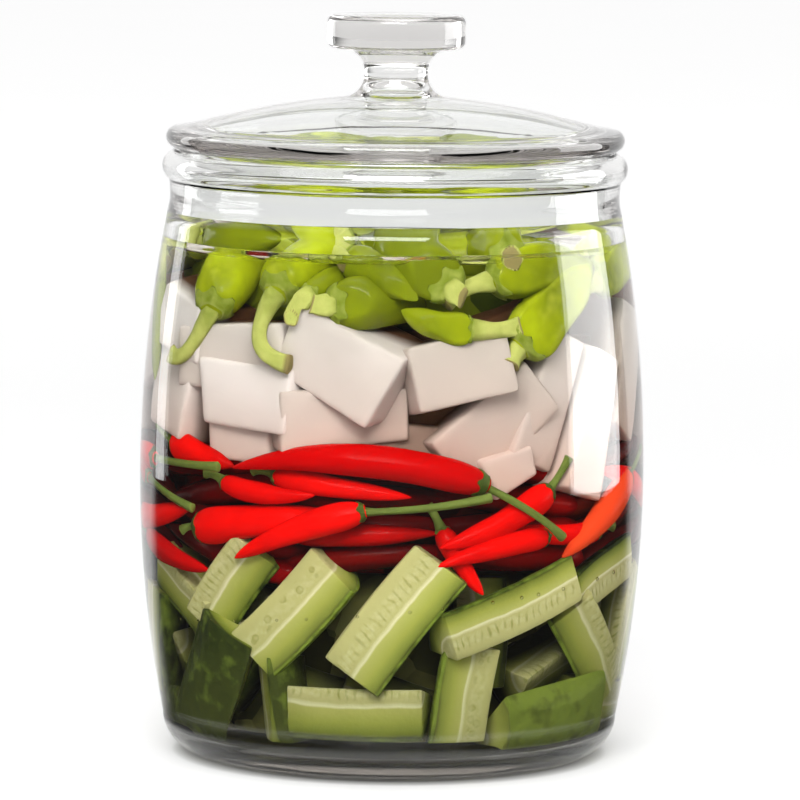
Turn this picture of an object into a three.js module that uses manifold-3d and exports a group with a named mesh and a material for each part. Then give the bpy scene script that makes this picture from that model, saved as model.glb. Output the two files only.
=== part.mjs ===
// Glass pickling crock: a clear barrel-shaped jar with a loose domed lid, packed in four layers with
// cucumber sticks, red chillies, white radish blocks and green peppers.
// Millimetres, +Z up. The origin is the centre of the base, and the front of the jar faces -Y.

import * as THREE from 'three';
import { mergeVertices } from 'three/addons/utils/BufferGeometryUtils.js';
import Module from 'manifold-3d';

const wasm = await Module();
wasm.setup();

// Jar
const BELLY_RADIUS = 98;
const BELLY_HEIGHT = 109;
const UPPER_CURVE = 520; // radius of the side's bend above the belly
const LOWER_CURVE = 457; // and below it
const WALL = 4.2;
const HEEL_RADIUS = 15.5;
const FLOOR_THICKNESS = 9;
const FLOOR_RISE = 1.5; // the floor is a little higher in the middle
const INNER_HEEL_RADIUS = 13;
const NECK_HEIGHT = 216;
const BEAD_RADIUS = 6.3;
const BEAD_OUTER = 90.2;
const LIP_HEIGHT = 235;
const MOUTH_RADIUS = 81.5;
const BEAD_HOLLOW = 4; // how far the inside of the neck bulges out behind the bead

// Lid
const SEAT_GAP = 0.3;
const LID_RADIUS = 88.9;
const LID_EDGE_THICKNESS = 8;
const DOME_TOP = 255;
const DOME_EDGE = 82;
const DOME_BULGE = 1.4; // how far the dome stands above a straight cone, half way up
const LID_THICKNESS = 4.5; // at the knob's foot
const LID_THICKENING = 4.3; // and this much more at the collar
const COLLAR_OUTER = 79.5;
const COLLAR_INNER = 75;
const COLLAR_DEPTH = 5;
const KNOB_NECK_RADIUS = 12.3;
const KNOB_NECK_HEIGHT = 264;
const KNOB_RADIUS = 26.8;
const KNOB_BOTTOM = 274;
const KNOB_EDGE = 3;
const KNOB_FILLET = 9;
const TOTAL_HEIGHT = 287;
const KNOB_HOLLOW_RADIUS = 12;
const KNOB_HOLLOW_HEIGHT = 11;

// Food
const FOOD_CLEARANCE = 0.5; // from the glass
const LAYER_GAP = 0.6; // between the pieces of two layers
const CORE_RADIUS = { cucumber: 73, chilli: 81.5, radish: 75, pepper: 75 };
const CORE_LEVELS = { cucumber: [11.2, 78], chilli: [79, 118], radish: [119, 168], pepper: [169, 190] };
const SMALLEST_EDGE = 0.25; // cuts that leave shorter edges are closed up
const CUCUMBER_RADIUS = 22;
const CUCUMBER_WEDGE = 80; // degrees of the round that one stick takes
const STALK_RADIUS = 1.6;
const PEPPER_STALK_RADIUS = 3.2;

const ROUND_SEGMENTS = 28;
const ARC_STEPS = 3;

const vec = (x, y, z) => new THREE.Vector3(x, y, z);
const rad = THREE.MathUtils.degToRad;
const X_AXIS = vec(1, 0, 0);
const Y_AXIS = vec(0, 1, 0);
const Z_AXIS = vec(0, 0, 1);

// Outside radius of the jar's side at a height: one arc above the belly and one below.
function sideRadius(height) {
  const curve = height > BELLY_HEIGHT ? UPPER_CURVE : LOWER_CURVE;
  return BELLY_RADIUS - (height - BELLY_HEIGHT) ** 2 / (2 * curve);
}

// Points on an arc about (r, z), between two angles in degrees, where 0 points away from the axis.
function arc(r, z, radius, from, to, steps = ARC_STEPS) {
  return Array.from({ length: steps + 1 }, (_, i) => {
    const angle = rad(from + ((to - from) * i) / steps);
    return new THREE.Vector2(r + radius * Math.cos(angle), z + radius * Math.sin(angle));
  });
}

// Points up the jar's side, set in from the outside by a depth: as many steps below the belly as above it.
function side(from, to, depth, steps) {
  return Array.from({ length: 2 * steps + 1 }, (_, i) => {
    const share = i / steps - 1;
    const z = BELLY_HEIGHT + share * (share < 0 ? BELLY_HEIGHT - from : to - BELLY_HEIGHT);
    return new THREE.Vector2(sideRadius(z) - depth, z);
  });
}

// A solid of revolution about Z from a profile of (radius, height) points.
function revolve(profile, segments = ROUND_SEGMENTS) {
  return new THREE.LatheGeometry(profile, segments).rotateX(Math.PI / 2);
}

// The inside of the jar, from the middle of the floor up to the mouth, set in by a clearance.
function cavityProfile(clearance) {
  const floor = FLOOR_THICKNESS + clearance;
  const heelTop = floor + INNER_HEEL_RADIUS;
  const heelCentre = sideRadius(heelTop) - WALL - clearance - INNER_HEEL_RADIUS;
  const throat = MOUTH_RADIUS - clearance;
  return [
    new THREE.Vector2(0, floor + FLOOR_RISE),
    new THREE.Vector2(heelCentre / 2, floor + FLOOR_RISE / 2),
    ...arc(heelCentre, heelTop, INNER_HEEL_RADIUS, -90, 0),
    ...side(heelTop + 24, NECK_HEIGHT - 8, WALL + clearance, 3),
    new THREE.Vector2(throat, NECK_HEIGHT + 2),
  ];
}

function jar() {
  const heelCentre = sideRadius(HEEL_RADIUS) - HEEL_RADIUS;
  const beadCentre = BEAD_OUTER - BEAD_RADIUS;
  const beadHeight = LIP_HEIGHT - BEAD_RADIUS - 0.4;
  const profile = [
    new THREE.Vector2(0, 0),
    ...arc(heelCentre, HEEL_RADIUS, HEEL_RADIUS, -90, 0, 4),
    ...side(HEEL_RADIUS + 24, NECK_HEIGHT, 0, 3),
    ...arc(beadCentre, beadHeight, BEAD_RADIUS, -55, 75, 5),
    new THREE.Vector2(beadCentre - 1, LIP_HEIGHT),
    new THREE.Vector2(MOUTH_RADIUS, LIP_HEIGHT - 1.2),
    ...[0.25, 0.5, 0.75].map(
      (t) =>
        new THREE.Vector2(
          MOUTH_RADIUS + BEAD_HOLLOW * Math.sin(Math.PI * t) ** 2,
          THREE.MathUtils.lerp(LIP_HEIGHT - 2, NECK_HEIGHT + 6, t),
        ),
    ),
    ...cavityProfile(0).reverse(),
  ];
  return revolve(profile);
}

function lid() {
  const seat = LIP_HEIGHT + SEAT_GAP;
  const edgeRadius = LID_EDGE_THICKNESS / 2;
  const domeRise = DOME_TOP - seat - LID_EDGE_THICKNESS;
  const domeFoot = KNOB_NECK_RADIUS + KNOB_FILLET;
  // Height of the dome's outside above the lid's edge at a radius: a cone with a slight bulge.
  const dome = (r) => {
    const share = (DOME_EDGE - r) / (DOME_EDGE - domeFoot);
    return seat + LID_EDGE_THICKNESS + domeRise * share + DOME_BULGE * Math.sin(Math.PI * share);
  };
  const thickness = (r) =>
    LID_THICKNESS + LID_THICKENING * ((r - domeFoot) / (COLLAR_INNER - domeFoot)) ** 2;
  const radiusAt = (t) => THREE.MathUtils.lerp(DOME_EDGE, domeFoot, t);
  const hollowTop = dome(domeFoot) - LID_THICKNESS + KNOB_HOLLOW_HEIGHT;
  const hollow = [0, 0.5, 1].map(
    (t) =>
      new THREE.Vector2(
        KNOB_HOLLOW_RADIUS * Math.sin((t * Math.PI) / 2),
        hollowTop - KNOB_HOLLOW_HEIGHT * (1 - Math.cos((t * Math.PI) / 2)),
      ),
  );
  const profile = [
    ...hollow,
    ...[0.7, 0.25].map(radiusAt).map((r) => new THREE.Vector2(r, dome(r) - thickness(r))),
    new THREE.Vector2(COLLAR_INNER, dome(COLLAR_INNER) - thickness(COLLAR_INNER)),
    new THREE.Vector2(COLLAR_INNER, seat - COLLAR_DEPTH),
    new THREE.Vector2(COLLAR_OUTER, seat - COLLAR_DEPTH),
    new THREE.Vector2(COLLAR_OUTER, seat),
    ...arc(LID_RADIUS - edgeRadius, seat + edgeRadius, edgeRadius, -90, 60),
    new THREE.Vector2(DOME_EDGE, dome(DOME_EDGE)),
    ...[0.25, 0.55, 0.85].map(radiusAt).map((r) => new THREE.Vector2(r, dome(r))),
    ...arc(domeFoot, KNOB_NECK_HEIGHT, KNOB_FILLET, 250, 180, 2),
    ...arc(domeFoot, KNOB_BOTTOM - KNOB_FILLET, KNOB_FILLET, 145, 95, 2),
    ...arc(KNOB_RADIUS - KNOB_EDGE, KNOB_BOTTOM + KNOB_EDGE, KNOB_EDGE, -80, 0, 2),
    ...arc(KNOB_RADIUS - KNOB_EDGE, TOTAL_HEIGHT - KNOB_EDGE, KNOB_EDGE, 0, 90, 2),
    new THREE.Vector2(0, TOTAL_HEIGHT),
  ];
  return revolve(profile);
}

// Where a piece lies: degrees round from the front, distance out from the axis, height.
function spot(round, out, up) {
  const angle = rad(round);
  return vec(out * Math.sin(angle), -out * Math.cos(angle), up);
}

// Frame of such a spot, with X to the right along the wall, Y up and Z out towards the glass,
// then turned by the rise of the piece's long side, its lean and the spin about its length.
function frameAt(round, out, up, rise = 0, lean = 0, spin = 0) {
  const away = spot(round, 1, 0);
  const right = Z_AXIS.clone().cross(away);
  return new THREE.Matrix4()
    .makeBasis(right, Z_AXIS, away)
    .setPosition(spot(round, out, up))
    .multiply(new THREE.Matrix4().makeRotationZ(rad(rise)))
    .multiply(new THREE.Matrix4().makeRotationY(rad(lean)))
    .multiply(new THREE.Matrix4().makeRotationX(rad(spin)));
}

// An even spread of shares between 0 and 1 for the pieces of a rule: steps of the golden ratio.
function spread(index, salt = 0) {
  return ((index + 1) * 0.6180339887 + salt * 0.7548776662) % 1;
}

// A straight piece: an outline in its (Y, Z) section carried along its length on X, about the middle.
function along(outline, length) {
  return new THREE.ExtrudeGeometry(new THREE.Shape(outline), { depth: length, bevelEnabled: false })
    .translate(0, 0, -length / 2)
    .applyMatrix4(new THREE.Matrix4().makeBasis(Y_AXIS, Z_AXIS, X_AXIS));
}

// A pod or stalk: a profile of (radius, share of length) points turned about a bent line, and grown
// all round by a margin.
function bent(curve, profile, segments, grow) {
  const length = curve.getLength();
  const wider = grow / Math.cos(Math.PI / segments);
  const grown = profile.map(
    ([r, t]) => new THREE.Vector2(r > 0 ? r + wider : 0, t * length + (2 * t - 1) * grow),
  );
  const straight = new THREE.LatheGeometry(grown, segments);
  const places = straight.attributes.position;
  const across = curve.v2.clone().sub(curve.v0).normalize();
  const reference = Math.abs(across.z) < 0.7 ? Z_AXIS : X_AXIS;
  const sideways = new THREE.Vector3();
  for (let i = 0; i < places.count; i++) {
    const share = places.getY(i) / length;
    const forward = curve.getTangent(THREE.MathUtils.clamp(share, 0, 1));
    sideways.crossVectors(forward, reference).normalize();
    const upward = sideways.clone().cross(forward);
    const point = curve
      .getPoint(share)
      .addScaledVector(sideways, places.getX(i))
      .addScaledVector(upward, places.getZ(i));
    places.setXYZ(i, point.x, point.y, point.z);
  }
  return straight;
}

// A bend through three points.
function bend(start, middle, end) {
  const pull = middle.clone().multiplyScalar(2).addScaledVector(start, -0.5).addScaledVector(end, -0.5);
  return new THREE.QuadraticBezierCurve3(start, pull, end);
}

// The point half way along the wall between two spots, raised by a bow.
function halfWay(from, to, bow) {
  const [round, out, up] = from.map((v, i) => (v + to[i]) / 2);
  return spot(round, out, up + bow);
}

// One cucumber stick, a wedge cut from the round: the cut face lies on the spot with its core side up.
function cucumberStick({ round, out, up, rise, spin = 0, lean = 0, long, size = 1 }, grow) {
  const radius = CUCUMBER_RADIUS * size + 2 * grow;
  const core = radius / 2;
  const rind = Array.from({ length: ARC_STEPS }, (_, i) => {
    const angle = rad((CUCUMBER_WEDGE * i) / (ARC_STEPS - 1));
    return new THREE.Vector2(core - radius * Math.cos(angle), grow - radius * Math.sin(angle));
  });
  const outline = [new THREE.Vector2(core, grow), ...rind];
  return [along(outline, long + 2 * grow).applyMatrix4(frameAt(round, out, up, rise, lean, spin))];
}

// One radish block: a slightly tapered brick.
function radishBlock({ round, out, up, rise = 0, lean = 0, spin = 0, wide, tall, deep }, grow) {
  const taper = 0.86;
  const half = tall / 2 + grow;
  const depth = deep / 2 + grow;
  const outline = [
    new THREE.Vector2(-half, -depth),
    new THREE.Vector2(half * taper, -depth),
    new THREE.Vector2(half, depth * taper),
    new THREE.Vector2(-half * taper, depth),
  ];
  const block = along(outline, wide + 2 * grow);
  return [block.applyMatrix4(frameAt(round, out - deep / 2, up, rise, lean, spin))];
}

// One pod from its tip to its stem end, with the stalk, where that shows, from inside the pod to its
// cut end, where it is a little thicker. A hooked stalk goes by a given place half way.
function pod({ tip, stem, bow = 0, thick, cut, cutBow = 0, by }, shape, segments, stalkRadius, grow) {
  const line = bend(spot(...tip), halfWay(tip, stem, bow), spot(...stem));
  const profile = shape.map(([r, t]) => [(r * thick) / 2, t]);
  const pieces = [bent(line, profile, segments, grow)];
  if (cut) {
    const stalk = [[0, 0], [1, 0], [0.85, 0.5], [1.15, 1], [0, 1]].map(([r, t]) => [r * stalkRadius, t]);
    const middle = by ? spot(...by) : halfWay(stem, cut, cutBow);
    const route = bend(line.getPoint(0.9), middle, spot(...cut));
    pieces.push(bent(route, stalk, 4, grow));
  }
  return pieces;
}

const CHILLI_SHAPE = [[0, 0], [0.45, 0.08], [0.85, 0.35], [1, 0.7], [0.8, 0.95], [0, 1]];
const PEPPER_SHAPE = [[0, 0], [0.55, 0.08], [0.85, 0.35], [1, 0.7], [0.85, 0.93], [0, 1]];
const chilli = (piece, grow) => pod(piece, CHILLI_SHAPE, 5, STALK_RADIUS, grow);
const pepper = (piece, grow) => pod(piece, PEPPER_SHAPE, 6, PEPPER_STALK_RADIUS, grow);

// Sticks that lie against the front half of the glass.
const CUCUMBER_FRONT = [
  { round: -45, out: 82, up: 72, rise: 51, spin: 25, long: 40 },
  { round: -25, out: 84, up: 64, rise: 47, long: 48, size: 1.1 },
  { round: 1, out: 86, up: 64, rise: 53, long: 54, size: 1.15 },
  { round: -9, out: 82, up: 27, rise: 0, long: 50, size: 0.95 },
  { round: 20, out: 80, up: 33, rise: -98, long: 40 },
  { round: 33, out: 84, up: 66, rise: 200, long: 58, size: 0.9 },
  { round: 68, out: 82, up: 76, rise: 196, long: 42, size: 0.85 },
  { round: 62, out: 83, up: 46, rise: -50, spin: 35, long: 48 },
  { round: 86, out: 82, up: 55, rise: 65, long: 44, size: 0.9 },
  { round: 50, out: 69, up: 28, rise: 6, spin: 230, long: 54, size: 1.3 },
  { round: -57, out: 72, up: 38, rise: 62, spin: 230, long: 52, size: 1.15 },
  { round: -34, out: 79, up: 30, rise: 96, spin: -50, long: 34, size: 0.8 },
  { round: -66, out: 80, up: 66, rise: -28, spin: 20, long: 40, size: 0.9 },
  { round: -86, out: 82, up: 42, rise: 80, long: 50 },
  { round: -80, out: 71, up: 22, rise: 6, spin: 230, long: 48 },
  { round: 80, out: 74, up: 22, rise: -4, spin: 30, long: 46 },
];

// Sticks round the back, in two rows.
const CUCUMBER_BACK = Array.from({ length: 10 }, (_, i) => ({
  round: 110 + (i % 5) * 33 + 10 * spread(i),
  out: (i % 3 === 2 ? 71 : 80) + 3 * spread(i, 1),
  up: i < 5 ? 28 : 62,
  rise: (i % 2 ? 60 : -15) + 50 * spread(i, 2),
  spin: i % 3 === 2 ? 230 : 20 * spread(i, 3),
  long: 40 + 12 * spread(i, 4),
  size: 0.9 + 0.25 * spread(i, 5),
}));

// Chillies at the front: tip, stem end and the cut end of the stalk as (degrees round, out, height).
const CHILLI_FRONT = [
  { tip: [-42, 86, 118], stem: [24, 86, 114], bow: 8, thick: 14, cut: [44, 91, 93], by: [34, 91, 104] },
  { tip: [-41, 86, 84], stem: [-6, 86, 105], bow: 2, thick: 11, cut: [24, 90, 110], cutBow: -1 },
  { tip: [-10, 78, 101], stem: [-56, 84, 93], thick: 14, bow: 2 },
  { tip: [-19, 84, 110], stem: [-47, 82, 112], thick: 9, bow: -2 },
  { tip: [-44, 80, 118], stem: [-67, 84, 124], thick: 11, cut: [-76, 84, 129] },
  { tip: [-116, 84, 104], stem: [-76, 85, 116], thick: 11, bow: 4, cut: [-45, 89, 118] },
  { tip: [-112, 82, 122], stem: [-80, 86, 108], thick: 10, cut: [-54, 89, 101] },
  { tip: [12, 85, 91], stem: [43, 84, 111], thick: 11, bow: -2, cut: [47, 88, 123] },
  { tip: [11, 87, 84], stem: [42, 84, 93], thick: 10, bow: 2 },
  { tip: [23, 87, 73], stem: [13, 78, 98], thick: 8, bow: -1 },
  { tip: [28, 80, 98], stem: [62, 84, 93], thick: 9, bow: -2 },
  { tip: [46, 86, 85], stem: [77, 86, 112], thick: 13, cut: [88, 86, 120] },
  { tip: [5, 84, 110], stem: [-32, 80, 116], thick: 9 },
  { tip: [13, 78, 96], stem: [-27, 75, 94], thick: 10 },
  { tip: [-50, 85, 78], stem: [-84, 84, 86], thick: 10, bow: -1 },
  { tip: [-55, 86, 102], stem: [-92, 84, 92], thick: 10, bow: -2 },
  { tip: [60, 84, 116], stem: [96, 84, 98], thick: 10, bow: 3 },
];

// Chillies round the back, in three rows that slant one way and then the other.
const CHILLI_BACK = Array.from({ length: 9 }, (_, i) => {
  const start = 100 + (i % 3) * 52 + 12 * spread(i);
  const level = 86 + 13 * Math.floor(i / 3) + 4 * spread(i, 5);
  const slant = 20 * (spread(i, 1) - 0.5);
  const ends = [
    [start, 84, level - slant],
    [start + 48 + 12 * spread(i, 2), 85, level + slant],
  ];
  if (i % 2) ends.reverse();
  return { tip: ends[0], stem: ends[1], thick: 9 + 4 * spread(i, 3), bow: 4 * spread(i, 4) };
});

const RADISH_FRONT = [
  { round: -39, out: 84, up: 145, lean: -4, wide: 42, tall: 24, deep: 30 },
  { round: -12, out: 87, up: 160, rise: -27, lean: -10, spin: 9, wide: 44, tall: 28, deep: 30 },
  { round: 17, out: 88, up: 157, rise: 14, spin: -5, wide: 40, tall: 24, deep: 30 },
  { round: -43, out: 81, up: 129, rise: 4, wide: 30, tall: 16, deep: 26 },
  { round: -16, out: 81, up: 138, rise: 4, lean: 20, wide: 48, tall: 23, deep: 28 },
  { round: 28.5, out: 82, up: 136, rise: 42, lean: -5, wide: 48, tall: 27, deep: 28 },
  { round: 43, out: 84, up: 145, rise: 69, wide: 52, tall: 20, deep: 28 },
  { round: 57, out: 87, up: 135, rise: 72, spin: 8, wide: 56, tall: 21, deep: 26 },
  { round: 31, out: 84.5, up: 120, rise: 20, wide: 22, tall: 15, deep: 22 },
  { round: -67, out: 84, up: 169, rise: -14, wide: 34, tall: 22, deep: 26 },
  { round: -70, out: 84, up: 144, rise: 82, lean: 10, wide: 36, tall: 30, deep: 26 },
  { round: 6, out: 74, up: 125, rise: -8, wide: 36, tall: 22, deep: 20 },
  { round: 80, out: 84, up: 152, rise: 66, wide: 50, tall: 26, deep: 28 },
  { round: -96, out: 84, up: 154, rise: 20, wide: 40, tall: 28, deep: 28 },
  { round: -46, out: 82, up: 159, rise: 3, wide: 50, tall: 26, deep: 26 },
];

const RADISH_BACK = Array.from({ length: 10 }, (_, i) => ({
  round: 110 + (i % 5) * 33 + 8 * spread(i),
  out: 83 + 3 * spread(i, 1),
  up: (i < 5 ? 133 : 159) + 4 * spread(i, 2),
  rise: 90 * spread(i, 3) - 30,
  lean: 24 * spread(i, 4) - 12,
  wide: 38 + 12 * spread(i, 5),
  tall: 22 + 6 * spread(i, 6),
  deep: 28,
}));

const PEPPER_FRONT = [
  { tip: [-60, 43, 196], stem: [-52, 84, 175], thick: 23, bow: 6, cut: [-66, 89, 158], by: [-59, 87, 160] },
  { tip: [-26, 44, 200], stem: [-31, 83, 184], thick: 20, bow: 4, cut: [-25, 89, 159], by: [-34, 87, 167] },
  { tip: [-14, 46, 190], stem: [-22, 85, 183], thick: 12, bow: 2 },
  { tip: [10, 60, 178], stem: [-16, 86, 181], thick: 20, bow: 2, cut: [-20, 88, 182] },
  { tip: [6, 86, 184], stem: [-14, 64, 197], thick: 15, bow: 2 },
  { tip: [-6, 52, 203], stem: [15, 86, 187], thick: 22, bow: 4, cut: [17, 88.5, 185] },
  { tip: [2, 83, 180], stem: [20, 86, 173], thick: 12, bow: -2, cut: [32, 88, 174], cutBow: -1 },
  { tip: [40, 44, 200], stem: [31, 84, 199], thick: 18, bow: 1, cut: [31, 87, 199] },
  { tip: [64, 78, 190], stem: [26, 79, 189], thick: 20, bow: 5 },
  { tip: [60, 81, 194], stem: [32, 85, 165], thick: 22, bow: 2, cut: [29, 88, 159] },
  { tip: [104, 78, 196], stem: [64, 80, 186], thick: 21, bow: 3 },
  { tip: [-76, 88, 146], stem: [-84, 82, 184], thick: 11, bow: 2 },
  { tip: [-40, 66, 203], stem: [-76, 70, 199], thick: 17, bow: 1 },
];

// Peppers round the back and across the top.
const PEPPER_BACK = Array.from({ length: 7 }, (_, i) => {
  const start = 106 + i * 23 + 8 * spread(i);
  const turn = i % 2 ? 34 : 12;
  return {
    tip: [start, 80, 178 + 8 * spread(i, 1)],
    stem: [start + turn, i % 2 ? 76 : 46, 188 + 12 * spread(i, 2)],
    thick: 18 + 5 * spread(i, 3),
    bow: 4,
  };
});
const PEPPER_TOP = Array.from({ length: 5 }, (_, i) => ({
  tip: [72 * i, 8 + 20 * spread(i), 190 + 4 * spread(i, 3)],
  stem: [72 * i + 50, 58, 192 + 6 * spread(i, 1)],
  thick: 20 + 4 * spread(i, 2),
  bow: 3,
}));

// A closed geometry as a solid for joining and cutting, with its shared corners merged.
function solid(geometry) {
  const bare = geometry.clone();
  bare.deleteAttribute('normal');
  bare.deleteAttribute('uv');
  const { index, attributes } = mergeVertices(bare, 1e-4);
  const corners = [];
  for (let i = 0; i < index.count; i += 3) {
    const [a, b, c] = [index.getX(i), index.getX(i + 1), index.getX(i + 2)];
    if (a !== b && b !== c && c !== a) corners.push(a, b, c);
  }
  const vertProperties = attributes.position.array;
  return new wasm.Manifold(new wasm.Mesh({ numProp: 3, vertProperties, triVerts: new Uint32Array(corners) }));
}

function join(geometries) {
  return geometries.map(solid).reduce((whole, piece) => whole.add(piece));
}

// The largest body of a solid as a geometry: scraps that a cut leaves loose are dropped.
function geometryOf(whole) {
  const bodies = whole.simplify(SMALLEST_EDGE).decompose();
  const body = bodies.reduce((best, next) => (next.volume() > best.volume() ? next : best));
  const { vertProperties, triVerts } = body.getMesh();
  return new THREE.BufferGeometry()
    .setAttribute('position', new THREE.BufferAttribute(new Float32Array(vertProperties), 3))
    .setIndex(new THREE.BufferAttribute(new Uint32Array(triVerts), 1));
}

// The plain inside of a layer, which its pieces are fused to.
function core(name, grow) {
  const edge = 6;
  const radius = CORE_RADIUS[name] + grow;
  const [bottom, top] = CORE_LEVELS[name];
  const profile = [
    new THREE.Vector2(0, bottom - grow),
    ...arc(radius - edge, bottom - grow + edge, edge, -90, 0, 2),
    ...arc(radius - edge, top + grow - edge, edge, 0, 90, 2),
    new THREE.Vector2(0, top + grow),
  ];
  return revolve(profile, ROUND_SEGMENTS / 2);
}

const LAYERS = {
  cucumber: [cucumberStick, [...CUCUMBER_FRONT, ...CUCUMBER_BACK]],
  chilli: [chilli, [...CHILLI_FRONT, ...CHILLI_BACK]],
  radish: [radishBlock, [...RADISH_FRONT, ...RADISH_BACK]],
  pepper: [pepper, [...PEPPER_FRONT, ...PEPPER_BACK, ...PEPPER_TOP]],
};

function heap(name, grow) {
  const [make, pieces] = LAYERS[name];
  return join([core(name, grow), ...pieces.flatMap((piece) => make(piece, grow))]);
}

// Each layer keeps clear of the glass and of the layers made before it: chillies and peppers lie
// in front of what they rest on, so they are made first.
function foodHeaps() {
  const cavity = solid(revolve([...cavityProfile(FOOD_CLEARANCE), new THREE.Vector2(0, NECK_HEIGHT + 2)]));
  const order = ['chilli', 'pepper', 'radish', 'cucumber'];
  const heaps = {};
  order.forEach((name, i) => {
    const clear = order.slice(0, i).reduce((rest, other) => rest.subtract(heap(other, LAYER_GAP)), cavity);
    heaps[name] = geometryOf(heap(name, 0).intersect(clear));
  });
  return heaps;
}

const glass = new THREE.MeshStandardMaterial({
  color: 0xeef2f2,
  roughness: 0.03,
  metalness: 0,
  transparent: true,
  opacity: 0.35,
});
const flesh = (color, roughness) => new THREE.MeshStandardMaterial({ color, roughness, metalness: 0 });
const FOOD_MATERIALS = {
  cucumber: flesh(0x9fb35c, 0.4),
  chilli: flesh(0xd01a10, 0.25),
  radish: flesh(0xe6dcd2, 0.45),
  pepper: flesh(0x8fb422, 0.3),
};

function named(name, geometry, material) {
  const mesh = new THREE.Mesh(geometry, material);
  mesh.name = name;
  return mesh;
}

const crock = new THREE.Group();
crock.add(named('jar', jar(), glass), named('lid', lid(), glass));
Object.entries(foodHeaps()).forEach(([name, geometry]) => {
  crock.add(named(`${name}_heap`, geometry, FOOD_MATERIALS[name]));
});

export default crock;
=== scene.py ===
"""Looks of a glass pickling crock, laid out as an add-on and run as a script.

Each operator makes one piece, or a group of like pieces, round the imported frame: the jar, the lid, the
brine, the four layers of vegetables, the bubbles and the stage. Places in the crock are given as degrees
round from the front, millimetres out from the axis and millimetres up.
"""

import math

import bpy
import numpy as np
from bpy.props import FloatProperty, FloatVectorProperty, PointerProperty
from mathutils import Matrix, Vector


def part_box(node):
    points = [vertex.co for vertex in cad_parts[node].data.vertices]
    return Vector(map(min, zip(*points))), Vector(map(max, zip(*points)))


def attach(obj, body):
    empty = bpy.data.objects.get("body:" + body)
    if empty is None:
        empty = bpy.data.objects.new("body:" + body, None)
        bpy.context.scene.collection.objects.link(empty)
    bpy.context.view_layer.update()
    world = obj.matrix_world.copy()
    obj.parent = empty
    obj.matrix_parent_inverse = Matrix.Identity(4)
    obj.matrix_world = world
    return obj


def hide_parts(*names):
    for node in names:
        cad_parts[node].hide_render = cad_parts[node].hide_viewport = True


bl_info = {
    "name": "Pickling crock",
    "version": (1, 0, 0),
    "blender": (4, 5, 0),
    "location": "3D View > Sidebar > Crock",
    "description": "Builds a glass crock of vegetables in brine round its packed frame",
    "category": "Add Mesh",
}

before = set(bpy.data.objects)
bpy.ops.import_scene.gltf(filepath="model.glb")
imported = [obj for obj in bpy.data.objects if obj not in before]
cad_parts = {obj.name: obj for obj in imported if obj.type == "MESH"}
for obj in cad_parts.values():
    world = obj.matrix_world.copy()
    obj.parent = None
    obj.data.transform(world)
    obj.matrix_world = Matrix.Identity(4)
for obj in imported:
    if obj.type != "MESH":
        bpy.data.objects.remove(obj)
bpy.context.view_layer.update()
JAR_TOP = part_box("jar")[1]
LID_LOW, LID_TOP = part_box("lid")

MM = 0.001
BODY = "root"
BUBBLES = 40
ROUND_STEPS = 160
PIECE_GAP = 0.8 * MM
STALK_GAP = 0.4 * MM
FULL_REACH = 92 * MM


def length(name, description, default):
    """A property for a length in metres."""
    return FloatProperty(name=name, description=description, default=default, unit="LENGTH", precision=5)


def colour(name, description, default):
    """A property for a colour in linear light."""
    return FloatVectorProperty(
        name=name, description=description, default=default, size=3, subtype="COLOR", min=0, max=1
    )


def position(name, description, default):
    """A property for a place in metres."""
    return FloatVectorProperty(name=name, description=description, default=default, subtype="TRANSLATION")


def number(name, description, default):
    """A property for a plain number."""
    return FloatProperty(name=name, description=description, default=default)


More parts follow.
